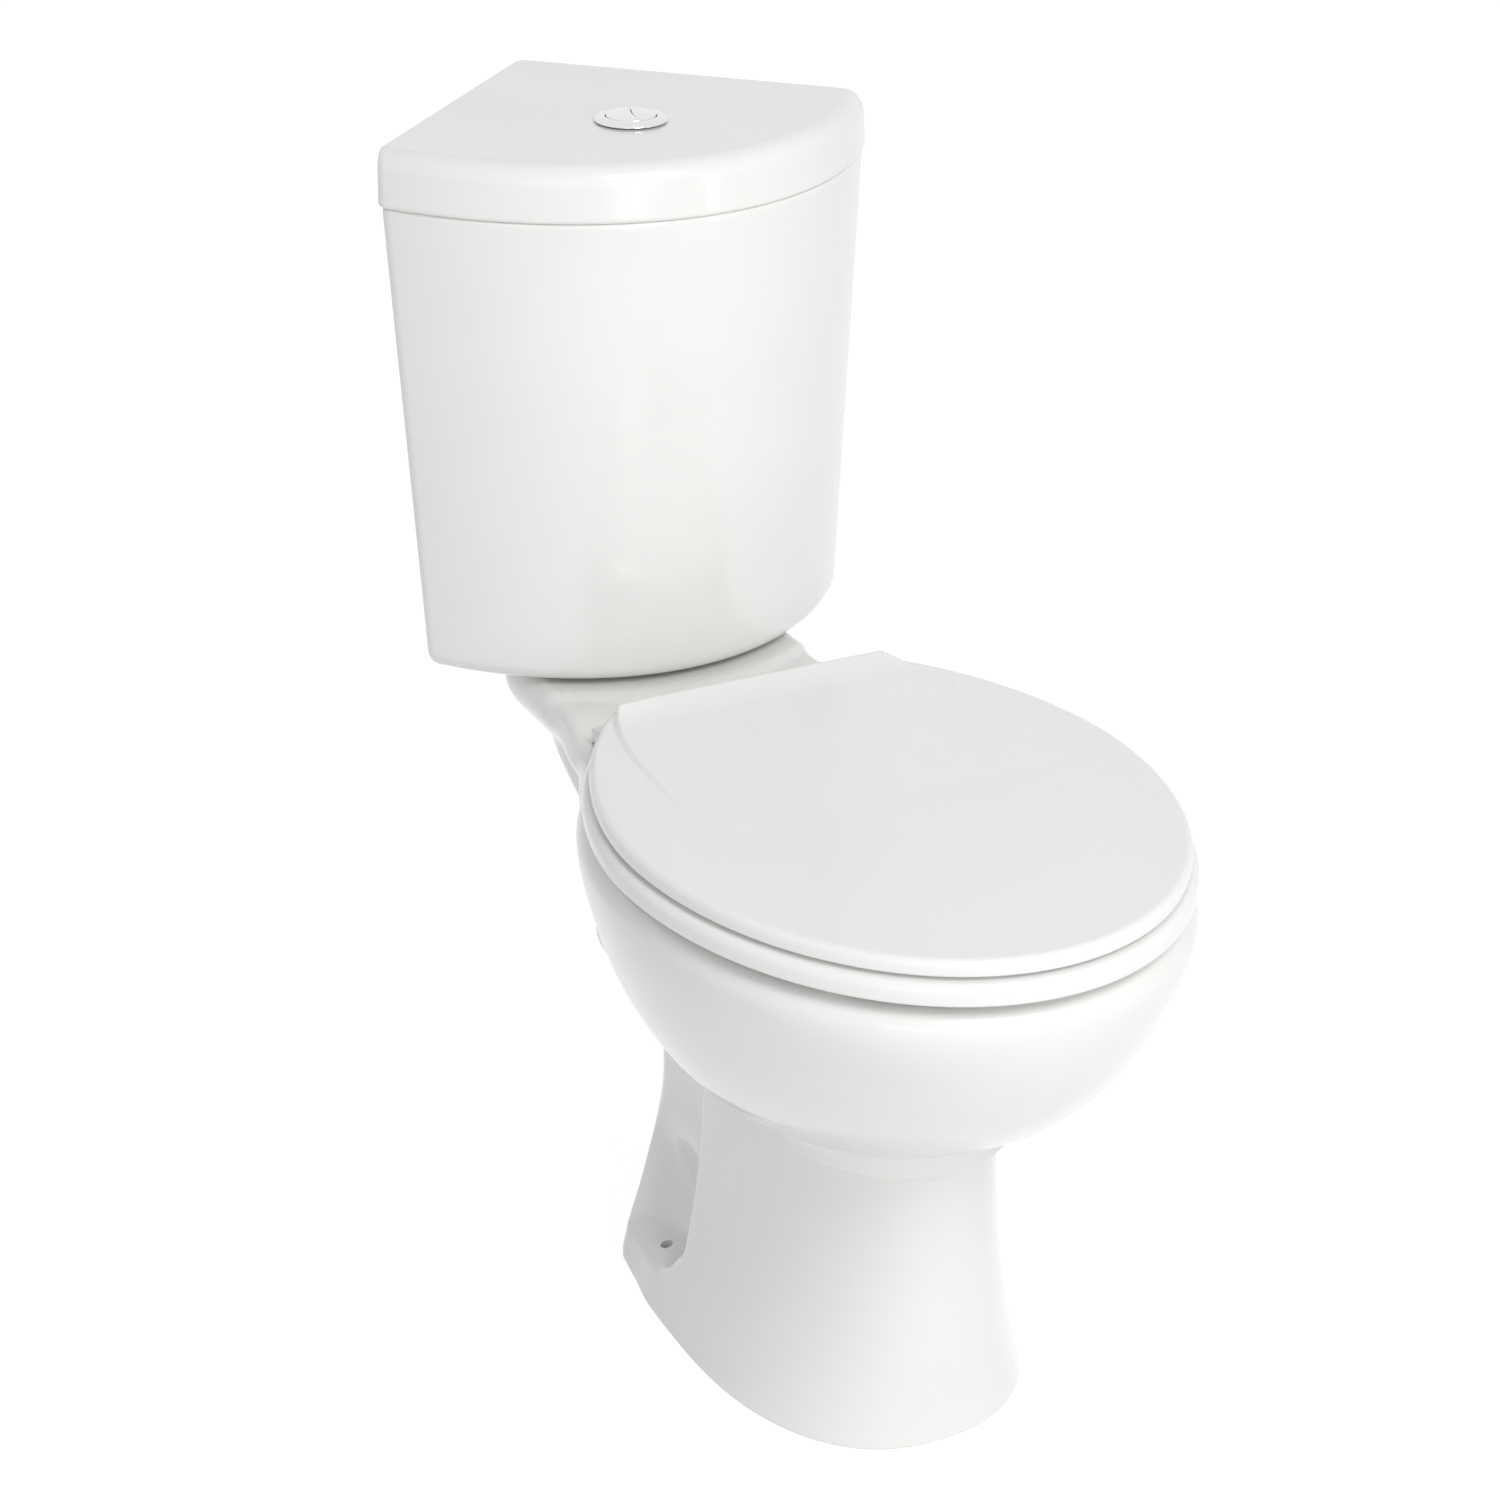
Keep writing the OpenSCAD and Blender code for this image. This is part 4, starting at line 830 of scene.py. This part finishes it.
def build_cistern():
    base = [tank_ring(TANK_Z + 13 * (1 - math.cos(a)), 13 * (1 - math.sin(a)), 6.5 * (1 - math.sin(a)))
            for a in arc(12, 0, 90)]
    rings = [shrink(base[0], t) for t in (0.4, 0.8, 0.96)] + base
    rings += [tank_ring(z, 0, 0) for z in np.linspace(TANK_Z + 20, TANK_TOP - 6, 24)]
    rings += rounding(tank_ring, TANK_TOP - 3, 3, arc(5, 0, 90))
    rings += rounding(tank_ring, TANK_TOP - 2, 2, arc(5, 90, 0), WALL, -1)
    rings += [tank_ring(z, WALL, WALL) for z in np.linspace(TANK_TOP - 8, FLOOR_Z + 10, 16)]
    for a in arc(6, 0, 90):
        d = WALL + 5 * (1 - math.cos(a))
        rings.append(tank_ring(FLOOR_Z + 6 * (1 - math.sin(a)), d, d))
    rings += [shrink(rings[-1], t) for t in (0.95, 0.6, 0.3)]
    tank = skin("ceramic_cistern", rings, GLAZE)
    under, over = TANK_Z - 1, FLOOR_Z + 1
    holes = [bar(0, VALVE_Y, under, over, 61), bar(INLET_X, INLET_Y, under, over, 22)]
    for s in (-1, 1):
        holes.append(bar(s * BOLT_X, VALVE_Y, under, over, 11))
        hole = bar(0, 0, 0, 60, 7)
        turn = Matrix.Rotation(math.radians(-45 * s), 4, "Z") @ Matrix.Rotation(math.radians(-90), 4, "X")
        place = Vector((s * 92, TANK_APEX - 122, TANK_TOP - 62)) * MM
        hole.data.transform(Matrix.Translation(place) @ turn)
        holes.append(hole)
    cut(tank, holes)
    finish_piece(settle(tank, GLAZE, 34), "base", "cistern")


def build_lid():
    rings = [shrink(lid_ring(TANK_TOP, 3, 3), t) for t in (0.5, 0.9)]
    for a in arc(6, 0, 90):
        d = 3 * (1 - math.sin(a))
        rings.append(lid_ring(TANK_TOP + 3 * (1 - math.cos(a)), d, d))
    lean = 1.5
    rings += [lid_ring(z, lean * (z - TANK_TOP - 3) / 21, 0)
              for z in np.linspace(TANK_TOP + 5, LID_TOP - 16, 8)]
    for a in arc(16, 0, 90):
        z = LID_TOP - 15 * (1 - math.sin(a))
        b = max(0.0, z - LID_TOP + 2)
        rings.append(lid_ring(z, lean + 15 * (1 - math.cos(a)), 2 - math.sqrt(max(0.0, 4 - b * b))))
    edge = rings[-1]
    rings += [shrink(edge, t) for t in (0.985, 0.9, 0.6, 0.3)]
    lid = skin("ceramic_lid", rings, GLAZE)
    skirt_in, skirt_wall = 14.5, 6
    skirt = [(-8, 3.5), (-7.4, 2.2), (-6, 1.2), (-2, 0.4), (4, 0)]
    skirt = [lid_ring(TANK_TOP + h, skirt_in + d, skirt_in + d) for h, d in skirt]
    cut(lid, [skin("skirt", skirt)], "UNION")
    inside = skirt_in + skirt_wall
    room = [(TANK_TOP - 9, 0), (TANK_TOP + 5, 0)]
    room += [(LID_TOP - 22 + 12 * math.sin(a), 10 * (1 - math.cos(a))) for a in arc(6, 0, 90)]
    cut(lid, [skin("room", [lid_ring(z, inside + d, inside + d * 0.6) for z, d in room]),
              bar(0, VALVE_Y, LID_TOP - 12, LID_TOP + 1, 40)])
    finish_piece(settle(lid, GLAZE, 34), "lid", "cistern_lid")


# ---- Seat ----

RING_HALF, RING_FRONT, RING_REAR = 188, 238, 245
COVER_IN = 5
SEAT_MIDDLE = np.array([0, SEAT_Y + 20.0])

# The ears of the ring and the cover on the hinge's pin, inside the hinge blocks.
HINGE_INNER, HINGE_OUTER = 62.0, 108.0
EAR_HALF = 5.75
EAR_X = HINGE_INNER - 0.5 - EAR_HALF
COVER_EAR_X = EAR_X - 2 * EAR_HALF - 0.5


def seat_outline(half, front, rear, back_y, n, corner):
    """Outline with n points, evenly spaced, cut off straight at the back, with softened corners."""
    a = np.linspace(0, 2 * math.pi, 4001)[:-1]
    c, s = np.cos(a), np.sin(a)
    p, reach = np.where(s < 0, 2.0, 1.85), np.where(s < 0, front, rear)
    k = ((np.abs(c) / half) ** p + (np.abs(s) / reach) ** p) ** (-1 / p)
    k = np.where(s > 0, np.minimum(k, (back_y - SEAT_Y) / np.maximum(s, 1e-9)), k)
    xy = np.stack([c * k, SEAT_Y + s * k], 1)
    step = np.linalg.norm(np.roll(xy, -1, 0) - xy, axis=1)
    length = np.concatenate([[0], np.cumsum(step)])
    closed = np.concatenate([xy, xy[:1]])
    even = np.linspace(0, length[-1], 4000, endpoint=False)
    xy = np.stack([np.interp(even, length, closed[:, j]) for j in (0, 1)], 1)
    spread = max(1, int(corner / (length[-1] / 4000)))
    soft = sum(np.roll(xy, j, 0) for j in range(-spread, spread + 1)) / (2 * spread + 1)
    bend = unit(np.linalg.norm(soft - xy, axis=1) / 0.25)
    near = unit(sum(np.roll(bend, j) for j in range(-2 * spread, 2 * spread + 1)) / spread)
    near = np.where(xy[:, 1] > SEAT_Y + 120, near, 0)[:, None]
    xy = xy * (1 - near) + soft * near
    take = np.round(np.linspace(0, 4000, n, endpoint=False)).astype(int)
    return xy[take]


def drawn_in(edge, d):
    """The outline drawn in by d towards the seat's middle."""
    way = SEAT_MIDDLE - edge
    return edge + way * d / np.linalg.norm(way, axis=1)[:, None]


def level_rings(edge, profile, z):
    """Outlines from (distance drawn in, height) pairs."""
    return [np.c_[drawn_in(edge, d), np.full(len(edge), z + h)] for d, h in profile]


def turned(loop):
    """The outline as an array that runs anticlockwise."""
    loop = np.array(loop, float)
    area = np.sum(loop[:, 0] * np.roll(loop[:, 1], -1) - np.roll(loop[:, 0], -1) * loop[:, 1])
    return loop if area > 0 else loop[::-1]


def along_x(verts):
    return verts[:, AXES["x"]]


def ear(x, loop):
    """A part of a hinge ear: a side outline in (y, z), round its place x."""
    return block("ear", turned(loop), x - EAR_HALF, x + EAR_HALF, turn=along_x)


def ear_disc(x):
    return ear(x, [(HINGE_Y + HINGE_R * math.cos(t), HINGE_Z + HINGE_R * math.sin(t))
                   for t in arc(40, 0, 360)[:-1]])


def pin_bore(x0, x1, r):
    return lathe("bore", [(0, x0), (r, x0), (r, x1), (0, x1)], at=(0, HINGE_Y, HINGE_Z), axis="x", n=48)


def build_ring():
    edge = seat_outline(RING_HALF, RING_FRONT, RING_REAR, COVER_BACK - 2, 360, 7.0)
    outer = soften([(16, 0.6), (4, 0), (0, 1.4), (0, 11), (3.5, 15), (14, 16.6), (26, RING_HEIGHT)],
                   [0, 3, 3, 7, 8, 8, 0], 6, False)
    inner = soften([(20, RING_HEIGHT), (8, 16), (1.5, 12.5), (0, 4.5), (2.5, 0), (12, 0.6)],
                   [0, 8, 8, 5, 3, 0], 6, False)
    rings = level_rings(edge, outer, RING_Z)
    angles = np.arctan2((edge[:, 1] - SEAT_Y) / 1.15, edge[:, 0])
    hole_half, hole_reach = 108, 142
    for d, h in inner:
        x, y = (hole_half + d) * np.cos(angles), SEAT_Y + (hole_reach + d) * np.sin(angles)
        rings.append(np.stack([x, y, np.full(len(edge), RING_Z + h)], 1))
    ring = skin("seat_ring_gloss", rings, SEAT, wrap=True)
    bridge = soften([(HINGE_Y, HINGE_Z - 5), (HINGE_Y + 3, HINGE_Z + 6), (COVER_BACK - 14, HINGE_Z + 7),
                     (COVER_BACK - 14, HINGE_Z)], 1.5, 4)
    places = (-EAR_X, EAR_X)
    cut(ring, [piece for x in places for piece in (ear_disc(x), ear(x, bridge))], "UNION")
    cut(ring, [pin_bore(x - 8, x + 8, 3.1) for x in places])
    finish_piece(settle(ring, SEAT, 40), "ring", "seat_ring")


def sweep_up(x, y):
    """The rise of the cover's back between two creases, with a shallow dip just inside them."""
    saddle = 103 + 27 * (1 - np.exp(-(COVER_BACK - y) / 45))
    inside = saddle - np.abs(x)
    lip, rise = unit((y - COVER_BACK + 36) / 36), unit((y - COVER_BACK + 200) / 200)
    dip = 0.6 * ease(rise / 0.6) * unit(inside / 8) * np.exp(-np.maximum(inside - 8, 0) / 16)
    return (4.6 * lip ** 1.8 + 3.2 * rise ** 0.9) * ease((inside + 1.6) / 4.6) - dip


def cover_top(xy, d):
    return COVER_Z + 11 + 2.5 * ease(d / 110) + sweep_up(xy[:, 0], xy[:, 1])


def build_cover():
    edge = seat_outline(RING_HALF - COVER_IN, RING_FRONT - COVER_IN, RING_REAR - COVER_IN, COVER_BACK,
                        640, 3.0)
    under = soften([(60, 7), (12, 7), (10, 0), (0, 0), (0, 5)], [0, 2, 2, 2.2, 0], 5, False)
    rings = level_rings(edge, under, COVER_Z)
    edge_r = 5.2
    over = [(edge_r * (1 - math.cos(a)), -edge_r * (1 - math.sin(a))) for a in arc(8, 0, 90)]
    over += [(d, 0.0) for d in (*np.arange(7.5, 60, 1.5), *np.arange(60, 165, 6.0))]
    for d, h in over:
        xy = drawn_in(edge, d)
        rings.append(np.c_[xy, cover_top(xy, d) + h])
    cover = skin("seat_cover_gloss", rings, SEAT)
    back, up = COVER_BACK, COVER_Z
    arm = soften([(HINGE_Y - HINGE_R, HINGE_Z), (back + 1, up - 4), (back + 1, up + 1),
                  (back - 6, up + 1), (back - 6, up + 9), (back + 7, up + 9),
                  (HINGE_Y + HINGE_R, HINGE_Z)], [1, 1, 0.5, 0.5, 0.5, 5, 1], 5)
    for x in (-COVER_EAR_X, COVER_EAR_X):
        cut(cover, [ear_disc(x), ear(x, arm)], "UNION")
        cut(cover, [pin_bore(x - 8, x + 8, 3.1)])
    finish_piece(settle(cover, SEAT, 40), "cover", "seat_cover")


def build_bumpers():
    """Two pairs under the ring and two under the cover: share of the half width, y, levels, radius."""
    ring_top, cover_under = RING_Z + RING_HEIGHT + 0.3, COVER_Z + 7
    spots = [(0.62, SEAT_Y - 0.63 * RING_FRONT, RIM, RING_Z + 1, 10, "ring"),
             (0.82, SEAT_Y + 60, RIM, RING_Z + 1, 10, "ring"),
             (0.56, SEAT_Y - 0.59 * RING_FRONT, ring_top, cover_under, 6, "cover"),
             (0.78, SEAT_Y + 16, ring_top, cover_under, 6, "cover")]
    for k, (share, y, z0, z1, r, body) in enumerate(spots):
        for s, side in ((-1, "left"), (1, "right")):
            profile = soften([(0, z0), (r - 0.6, z0), (r, z1), (0, z1)], [0, 1.6, 0, 0], 5, False)
            piece = lathe(f"bumper_{k}_{side}", profile, SOFT, (s * (share * RING_HALF), y, 0), 48)
            finish_piece(piece, body, f"{body}_bumpers")


def build_hinges():
    loop = turned(soften([(HINGE_Y - 10, RIM), (HINGE_Y + 10, RIM), (HINGE_Y + 10, RIM + 14),
                          (HINGE_Y - 10, RIM + 14)], [0.8, 0.8, 5, 5], 6))
    for s, side in ((-1, "left"), (1, "right")):
        x0, x1 = sorted((s * HINGE_INNER, s * HINGE_OUTER))
        piece = block(f"hinge_block_{side}", loop, x0, x1, HINGE, edge=1.6, turn=along_x)
        cut(piece, [pin_bore(*sorted((s * (HINGE_INNER - 1), s * (HINGE_OUTER - 2))), 3.0)])
        finish_piece(settle(piece, HINGE), "base", "hinge_blocks")


# ---- Buttons ----

BEZEL_Z = LID_TOP + 1
BEZEL_FACE = BEZEL_Z + 3.5
BUTTON_Z = LID_TOP - 7
BUTTON_TOP = BEZEL_FACE + 1.2
BUTTON_R = 17.5
SPLIT_X, SPLIT_Y, SPLIT_R = 60.0, -13.0, 60.0


def round_points(x, y, r, angles):
    return [(x + r * math.cos(t), y + r * math.sin(t)) for t in angles]


def build_bezel():
    bore, sleeve, r = 17.9, 19.0, 25.5
    bottom = LID_TOP - 30
    z, face = BEZEL_Z, BEZEL_FACE
    profile = soften([(bore, bottom), (sleeve, bottom), (sleeve, z), (r, z), (r, z + 0.8),
                      (r - 1.2, z + 2), (r - 3.2, z + 3), (r - 5.4, face), (bore + 0.8, face),
                      (bore, face - 0.8)],
                     [0.3, 0.3, 0.4, 0.3, 0.6, 1.2, 1.2, 1.2, 0.5, 0.5], 5)
    bezel = lathe("bezel_chrome", profile, CHROME, (0, VALVE_Y, 0), 160, 38)
    plate = bar(0, VALVE_Y, bottom, bottom + 3, 2 * sleeve)
    for s in (-1, 1):
        cut(plate, [bar(s * 9.5, VALVE_Y, bottom - 1, bottom + 4, 6.8)])
    cut(bezel, [plate], "UNION")
    finish_piece(settle(bezel, CHROME, 38), "lid", "button_bezel")


def build_buttons():
    """One round button in two parts, split along an arc round a point off to its right."""
    away, middle = math.hypot(SPLIT_X, SPLIT_Y), math.atan2(SPLIT_Y, SPLIT_X)
    for name, button, gap, turn, n in (("button_large", "full", 0.2, 2 * math.pi, 80),
                                       ("button_small", "half", -0.2, 0.0, 60)):
        r = SPLIT_R + gap
        half = math.acos((away * away + BUTTON_R ** 2 - r * r) / (2 * away) / BUTTON_R)
        ends = round_points(0.0, 0.0, BUTTON_R, (middle + half, middle - half))
        a0, a1 = [math.atan2(y - SPLIT_Y, x - SPLIT_X) % (2 * math.pi) for x, y in ends]
        split = round_points(SPLIT_X, SPLIT_Y, r, np.linspace(a0, a1, 41))
        rim = round_points(0.0, 0.0, BUTTON_R, np.linspace(middle - half, middle + half - turn, n + 1))
        loop = turned(split + rim[1:-1]) + np.array([0, VALVE_Y])
        piece = block(name, loop, BUTTON_Z, BUTTON_TOP - 0.7, CHROME, edge=0.9, dome=0.65, under=0.3)
        finish_piece(piece, f"{button}_button", f"{button}_flush_button")


# ---- Threads and ribs by Geometry Nodes ----

def node_tree(name, **sizes):
    """An empty geometry tree with an input for each size and for the material."""
    tree = bpy.data.node_groups.new(name, "GeometryNodeTree")
    face = tree.interface
    face.new_socket("Geometry", in_out="OUTPUT", socket_type="NodeSocketGeometry")
    ids = {}
    for key, value in sizes.items():
        kind = "NodeSocketInt" if isinstance(value, int) else "NodeSocketFloat"
        item = face.new_socket(key, in_out="INPUT", socket_type=kind)
        item.default_value = value
        ids[key] = item.identifier
    item = face.new_socket("Material", in_out="INPUT", socket_type="NodeSocketMaterial")
    ids["Material"] = item.identifier
    return tree, ids, add_node(tree, "NodeGroupInput").outputs


def end_tree(tree, given, shape):
    real = add_node(tree, "GeometryNodeRealizeInstances", Geometry=shape.outputs[0])
    paint = add_node(tree, "GeometryNodeSetMaterial", Geometry=real.outputs[0],
                     Material=given["Material"])
    add_node(tree, "NodeGroupOutput", Geometry=paint.outputs[0])


def thread_tree():
    """A screw thread: a spiral that carries a small ridge."""
    tree, ids, given = node_tree("screw_thread", Root=0.01, Length=0.03, Turns=10.0, Ridge=0.0005)
    spiral = add_node(tree, "GeometryNodeCurveSpiral", Resolution=36, Rotations=given["Turns"],
                      Start_Radius=given["Root"], End_Radius=given["Root"], Height=given["Length"])
    ridge = add_node(tree, "GeometryNodeCurvePrimitiveCircle", Resolution=6, Radius=given["Ridge"])
    sweep = add_node(tree, "GeometryNodeCurveToMesh", Fill_Caps=True, Curve=spiral.outputs[0],
                     Profile_Curve=ridge.outputs[0])
    end_tree(tree, given, sweep)
    return tree, ids


def ribs_tree():
    """Grip ribs: a number of small rods that stand in a circle."""
    tree, ids, given = node_tree("grip_ribs", Count=12, Circle=0.03, Rib=0.001, Height=0.008)
    ring = add_node(tree, "GeometryNodeMeshCircle", Vertices=given["Count"], Radius=given["Circle"])
    rib = add_node(tree, "GeometryNodeMeshCylinder", Vertices=10, Radius=given["Rib"],
                   Depth=given["Height"])
    spread = add_node(tree, "GeometryNodeInstanceOnPoints", Points=ring.outputs[0],
                      Instance=rib.outputs[0])
    end_tree(tree, given, spread)
    return tree, ids


def grow(name, tree_ids, material, at, **values):
    """Runs a node tree on an empty mesh and keeps the result as a plain mesh that rides on the base."""
    tree, ids = tree_ids
    holder = place_in_scene(name + "_source", bpy.data.meshes.new(name))
    mod = modify(holder, "NODES", node_group=tree)
    for key, value in values.items():
        mod[ids[key]] = value
    mod[ids["Material"]] = material
    done = baked(holder)
    done.name = name
    drop(holder)
    done.transform(Matrix.Translation(Vector(at) * MM))
    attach(settle(bpy.data.objects.new(name, done), material, 40), "base")


def build_screws():
    thread, ribs = thread_tree(), ribs_tree()
    bore, nose, root, outside, flange, head = 6.5, 9, 9.6, 10.75, 15, 13
    shank = [(bore, TANK_Z - 38), (root, TANK_Z - 38), (root, TANK_Z - 9), (outside, TANK_Z - 9),
             (outside, FLOOR_Z + 2), (flange, FLOOR_Z + 2), (flange, FLOOR_Z + 5), (head, FLOOR_Z + 5.5),
             (head, FLOOR_Z + 32), (nose, FLOOR_Z + 32), (nose, FLOOR_Z + 24), (bore, FLOOR_Z + 24)]
    shank = soften(shank, [0.5, 1, 0, 0, 0, 0.4, 0.6, 0.3, 1, 0.5, 0, 0.5], 4)
    piece = lathe("inlet_shank", shank, GREY, (INLET_X, INLET_Y, 0), 72, 38)
    finish_piece(piece, "base", "fill_valve_shank")
    grow("inlet_thread", thread, GREY, (INLET_X, INLET_Y, TANK_Z - 37), Root=9.7 * MM, Length=27 * MM,
         Turns=15.0, Ridge=0.72 * MM)

    root, head, low, ridge = 3.5, FLOOR_Z + 12, PLATE_UNDER - 17, 0.48 * MM
    bolt_line = soften([(0, low), (root, low), (root, PLATE_UNDER + 6), (4, PLATE_UNDER + 8), (4, head),
                        (9, head), (9, head + 3), (7.5, head + 5), (0, head + 5)],
                       [0, 0.8, 0, 0, 0, 0.4, 1.5, 1.5, 0], 4, False)
    stud_line = soften([(0, low + 1), (root, low + 1), (root, RIM), (0, RIM)], [0, 0.8, 0, 0], 4, False)
    for s, side in ((-1, "left"), (1, "right")):
        x = s * BOLT_X
        bolt = lathe(f"cistern_bolt_{side}", bolt_line, BRASS, (x, VALVE_Y, 0), 64, 38)
        slot = [(x + dx, VALVE_Y + dy) for dx, dy in ((-1, -10), (1, -10), (1, 10), (-1, 10))]
        cut(bolt, [block("slot", slot, head + 3, head + 6, edge=0)])
        finish_piece(settle(bolt, BRASS, 38), "base", "cistern_bolts")
        grow(f"bolt_thread_{side}", thread, BRASS, (x, VALVE_Y, low + 0.6), Root=root * MM,
             Length=22 * MM, Turns=17.0, Ridge=ridge)
        x = s * STUD_X
        stud = lathe(f"seat_stud_{side}", stud_line, BRASS, (x, HINGE_Y, 0), 48, 38)
        finish_piece(stud, "base", "seat_studs")
        grow(f"stud_thread_{side}", thread, BRASS, (x, HINGE_Y, low + 1.6), Root=root * MM,
             Length=29 * MM, Turns=23.0, Ridge=ridge)

    inner, outer, under = 30, 33, TANK_Z - 13
    nut = soften([(inner, under), (outer, under), (outer, TANK_Z), (inner, TANK_Z)], [0.4, 1, 1, 0.4], 4)
    piece = lathe("valve_backnut", nut, GREY, (0, VALVE_Y, 0), 96, 38)
    finish_piece(piece, "base", "flush_valve_backnut")
    grow("backnut_ribs", ribs, GREY, (0, VALVE_Y, under + 6.5), Count=36, Circle=outer * MM,
         Rib=0.9 * MM, Height=11 * MM)


KEPT = ((RUBBER, "coupling_washer bolt_rubbers flush_valve_washer valve_seal fill_valve_washer "
                 "bezel_gasket stud_washers"),
        (BRASS, "bolt_washers wing_nuts arm_pin float_screw"),
        (WHITE, "flush_valve_body overflow_tube fill_valve_tube fill_valve_head bezel_nut "
                "full_flush_rod half_flush_rod"),
        (GREY, "seal_retainer fill_valve_backnut float_arm stud_nuts"),
        (BLUE, "flush_valve_cap inlet_strainer float"),
        (STEEL, "hinge_pins"))


def dress_kept():
    """The other fittings keep their CAD shape, with a small bevel on their edges."""
    for material, names in KEPT:
        for name in names.split():
            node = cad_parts[name]
            node.data.materials.clear()
            node.data.materials.append(material)
            modify(node, "WELD", merge_threshold=1e-6)
            modify(node, "BEVEL", width=0.35 * MM, segments=2, limit_method="ANGLE",
                   angle_limit=math.radians(40), use_clamp_overlap=True)


# ---- Stage ----

def studio(owner, output, dim, white, strength, **dim_inputs):
    """Lights the toilet with the dim shader, and shows the white one to camera, gloss and glass."""
    owner.use_nodes = True
    tree = owner.node_tree
    tree.nodes.clear()
    rays = add_node(tree, "ShaderNodeLightPath").outputs
    seen = [Sock(tree, rays[f"Is {ray} Ray"]) for ray in ("Camera", "Glossy", "Transmission")]
    white = add_node(tree, white, Color=(1, 1, 1, 1), Strength=strength).outputs[0]
    pick = add_node(tree, "ShaderNodeMixShader", seen[0] + seen[1] + seen[2],
                    add_node(tree, dim, **dim_inputs).outputs[0], white)
    add_node(tree, output, Surface=pick.outputs[0])
    return tree, pick, white


def build_floor():
    """A wide floor that looks white, and a little darker in the toilet's shadow."""
    reach = 6000
    corners = [(-reach, -reach, 0), (reach, -reach, 0), (reach, reach, 0), (-reach, reach, 0)]
    floor = make("floor", corners, [[0, 1, 2, 3]])
    floor.location.z = -0.0005
    mat = bpy.data.materials.new("studio_floor")
    tree, pick, white = studio(mat, "ShaderNodeOutputMaterial", "ShaderNodeBsdfDiffuse",
                               "ShaderNodeEmission", 0.8, Color=(0.8, 0.8, 0.8, 1))
    lit = add_node(tree, "ShaderNodeBsdfDiffuse", Color=(0.4, 0.4, 0.4, 1))
    both = add_node(tree, "ShaderNodeAddShader", white, lit.outputs[0])
    put(tree, both.outputs[0], pick.inputs[2])
    floor.data.materials.append(mat)


def build_world():
    world = bpy.data.worlds.new("studio")
    studio(world, "ShaderNodeOutputWorld", "ShaderNodeBackground", "ShaderNodeBackground", 1.0,
           Color=(1, 1, 1, 1), Strength=0.53)
    bpy.context.scene.world = world


def build_lamps():
    """Soft boxes: place in metres, width and height in metres, watts and colour."""
    target = Vector((0, -0.05, 0.42))
    for name, spot, size, power, tint in (
            ("key", (0.1, -2.2, 2.8), (1.2, 1.2), 37, (1.0, 1.0, 0.99)),
            ("front", (-0.35, -3.2, 1.0), (0.8, 1.4), 20, (1.0, 1.0, 1.0)),
            ("left", (-1.8, -2.4, 1.4), (1.2, 1.2), 3.5, (1.0, 1.0, 1.0)),
            ("right", (1.6, -2.6, 0.7), (0.3, 1.4), 2.8, (1.0, 1.0, 1.0))):
        lamp = bpy.data.lights.new(name, "AREA")
        lamp.shape = "RECTANGLE"
        lamp.size, lamp.size_y = size
        lamp.energy = power
        lamp.color = tint
        obj = place_in_scene(name, lamp)
        obj.location = spot
        obj.rotation_euler = (target - Vector(spot)).to_track_quat("-Z", "Y").to_euler()


def build_camera():
    """The camera that was fitted to the outlines in the photograph."""
    azimuth, tilt, roll = (math.radians(a) for a in (-27.63, 25.83, 0.55))
    aim, away = Vector((-97.07, -162.0, 492.0)) * MM, 2.05778
    cam = bpy.data.cameras.new("camera")
    cam.sensor_width, cam.lens = 36.0, 78.61
    cam.clip_start, cam.clip_end = 0.05, 60
    obj = place_in_scene("camera", cam)
    ahead = Vector((-math.sin(azimuth) * math.cos(tilt), math.cos(azimuth) * math.cos(tilt),
                    -math.sin(tilt)))
    right = Vector((math.cos(azimuth), math.sin(azimuth), 0))
    up = right.cross(ahead)
    r = math.cos(roll) * right + math.sin(roll) * up
    u = -math.sin(roll) * right + math.cos(roll) * up
    place = aim - ahead * away
    obj.matrix_world = Matrix(((r.x, u.x, -ahead.x, place.x), (r.y, u.y, -ahead.y, place.y),
                               (r.z, u.z, -ahead.z, place.z), (0, 0, 0, 1)))
    bpy.context.scene.camera = obj
    bpy.context.scene.view_settings.view_transform = "Standard"


build_pan()
build_cistern()
build_lid()
build_ring()
build_cover()
build_bumpers()
build_hinges()
build_bezel()
build_buttons()
build_screws()
dress_kept()
build_floor()
build_world()
build_lamps()
build_camera()
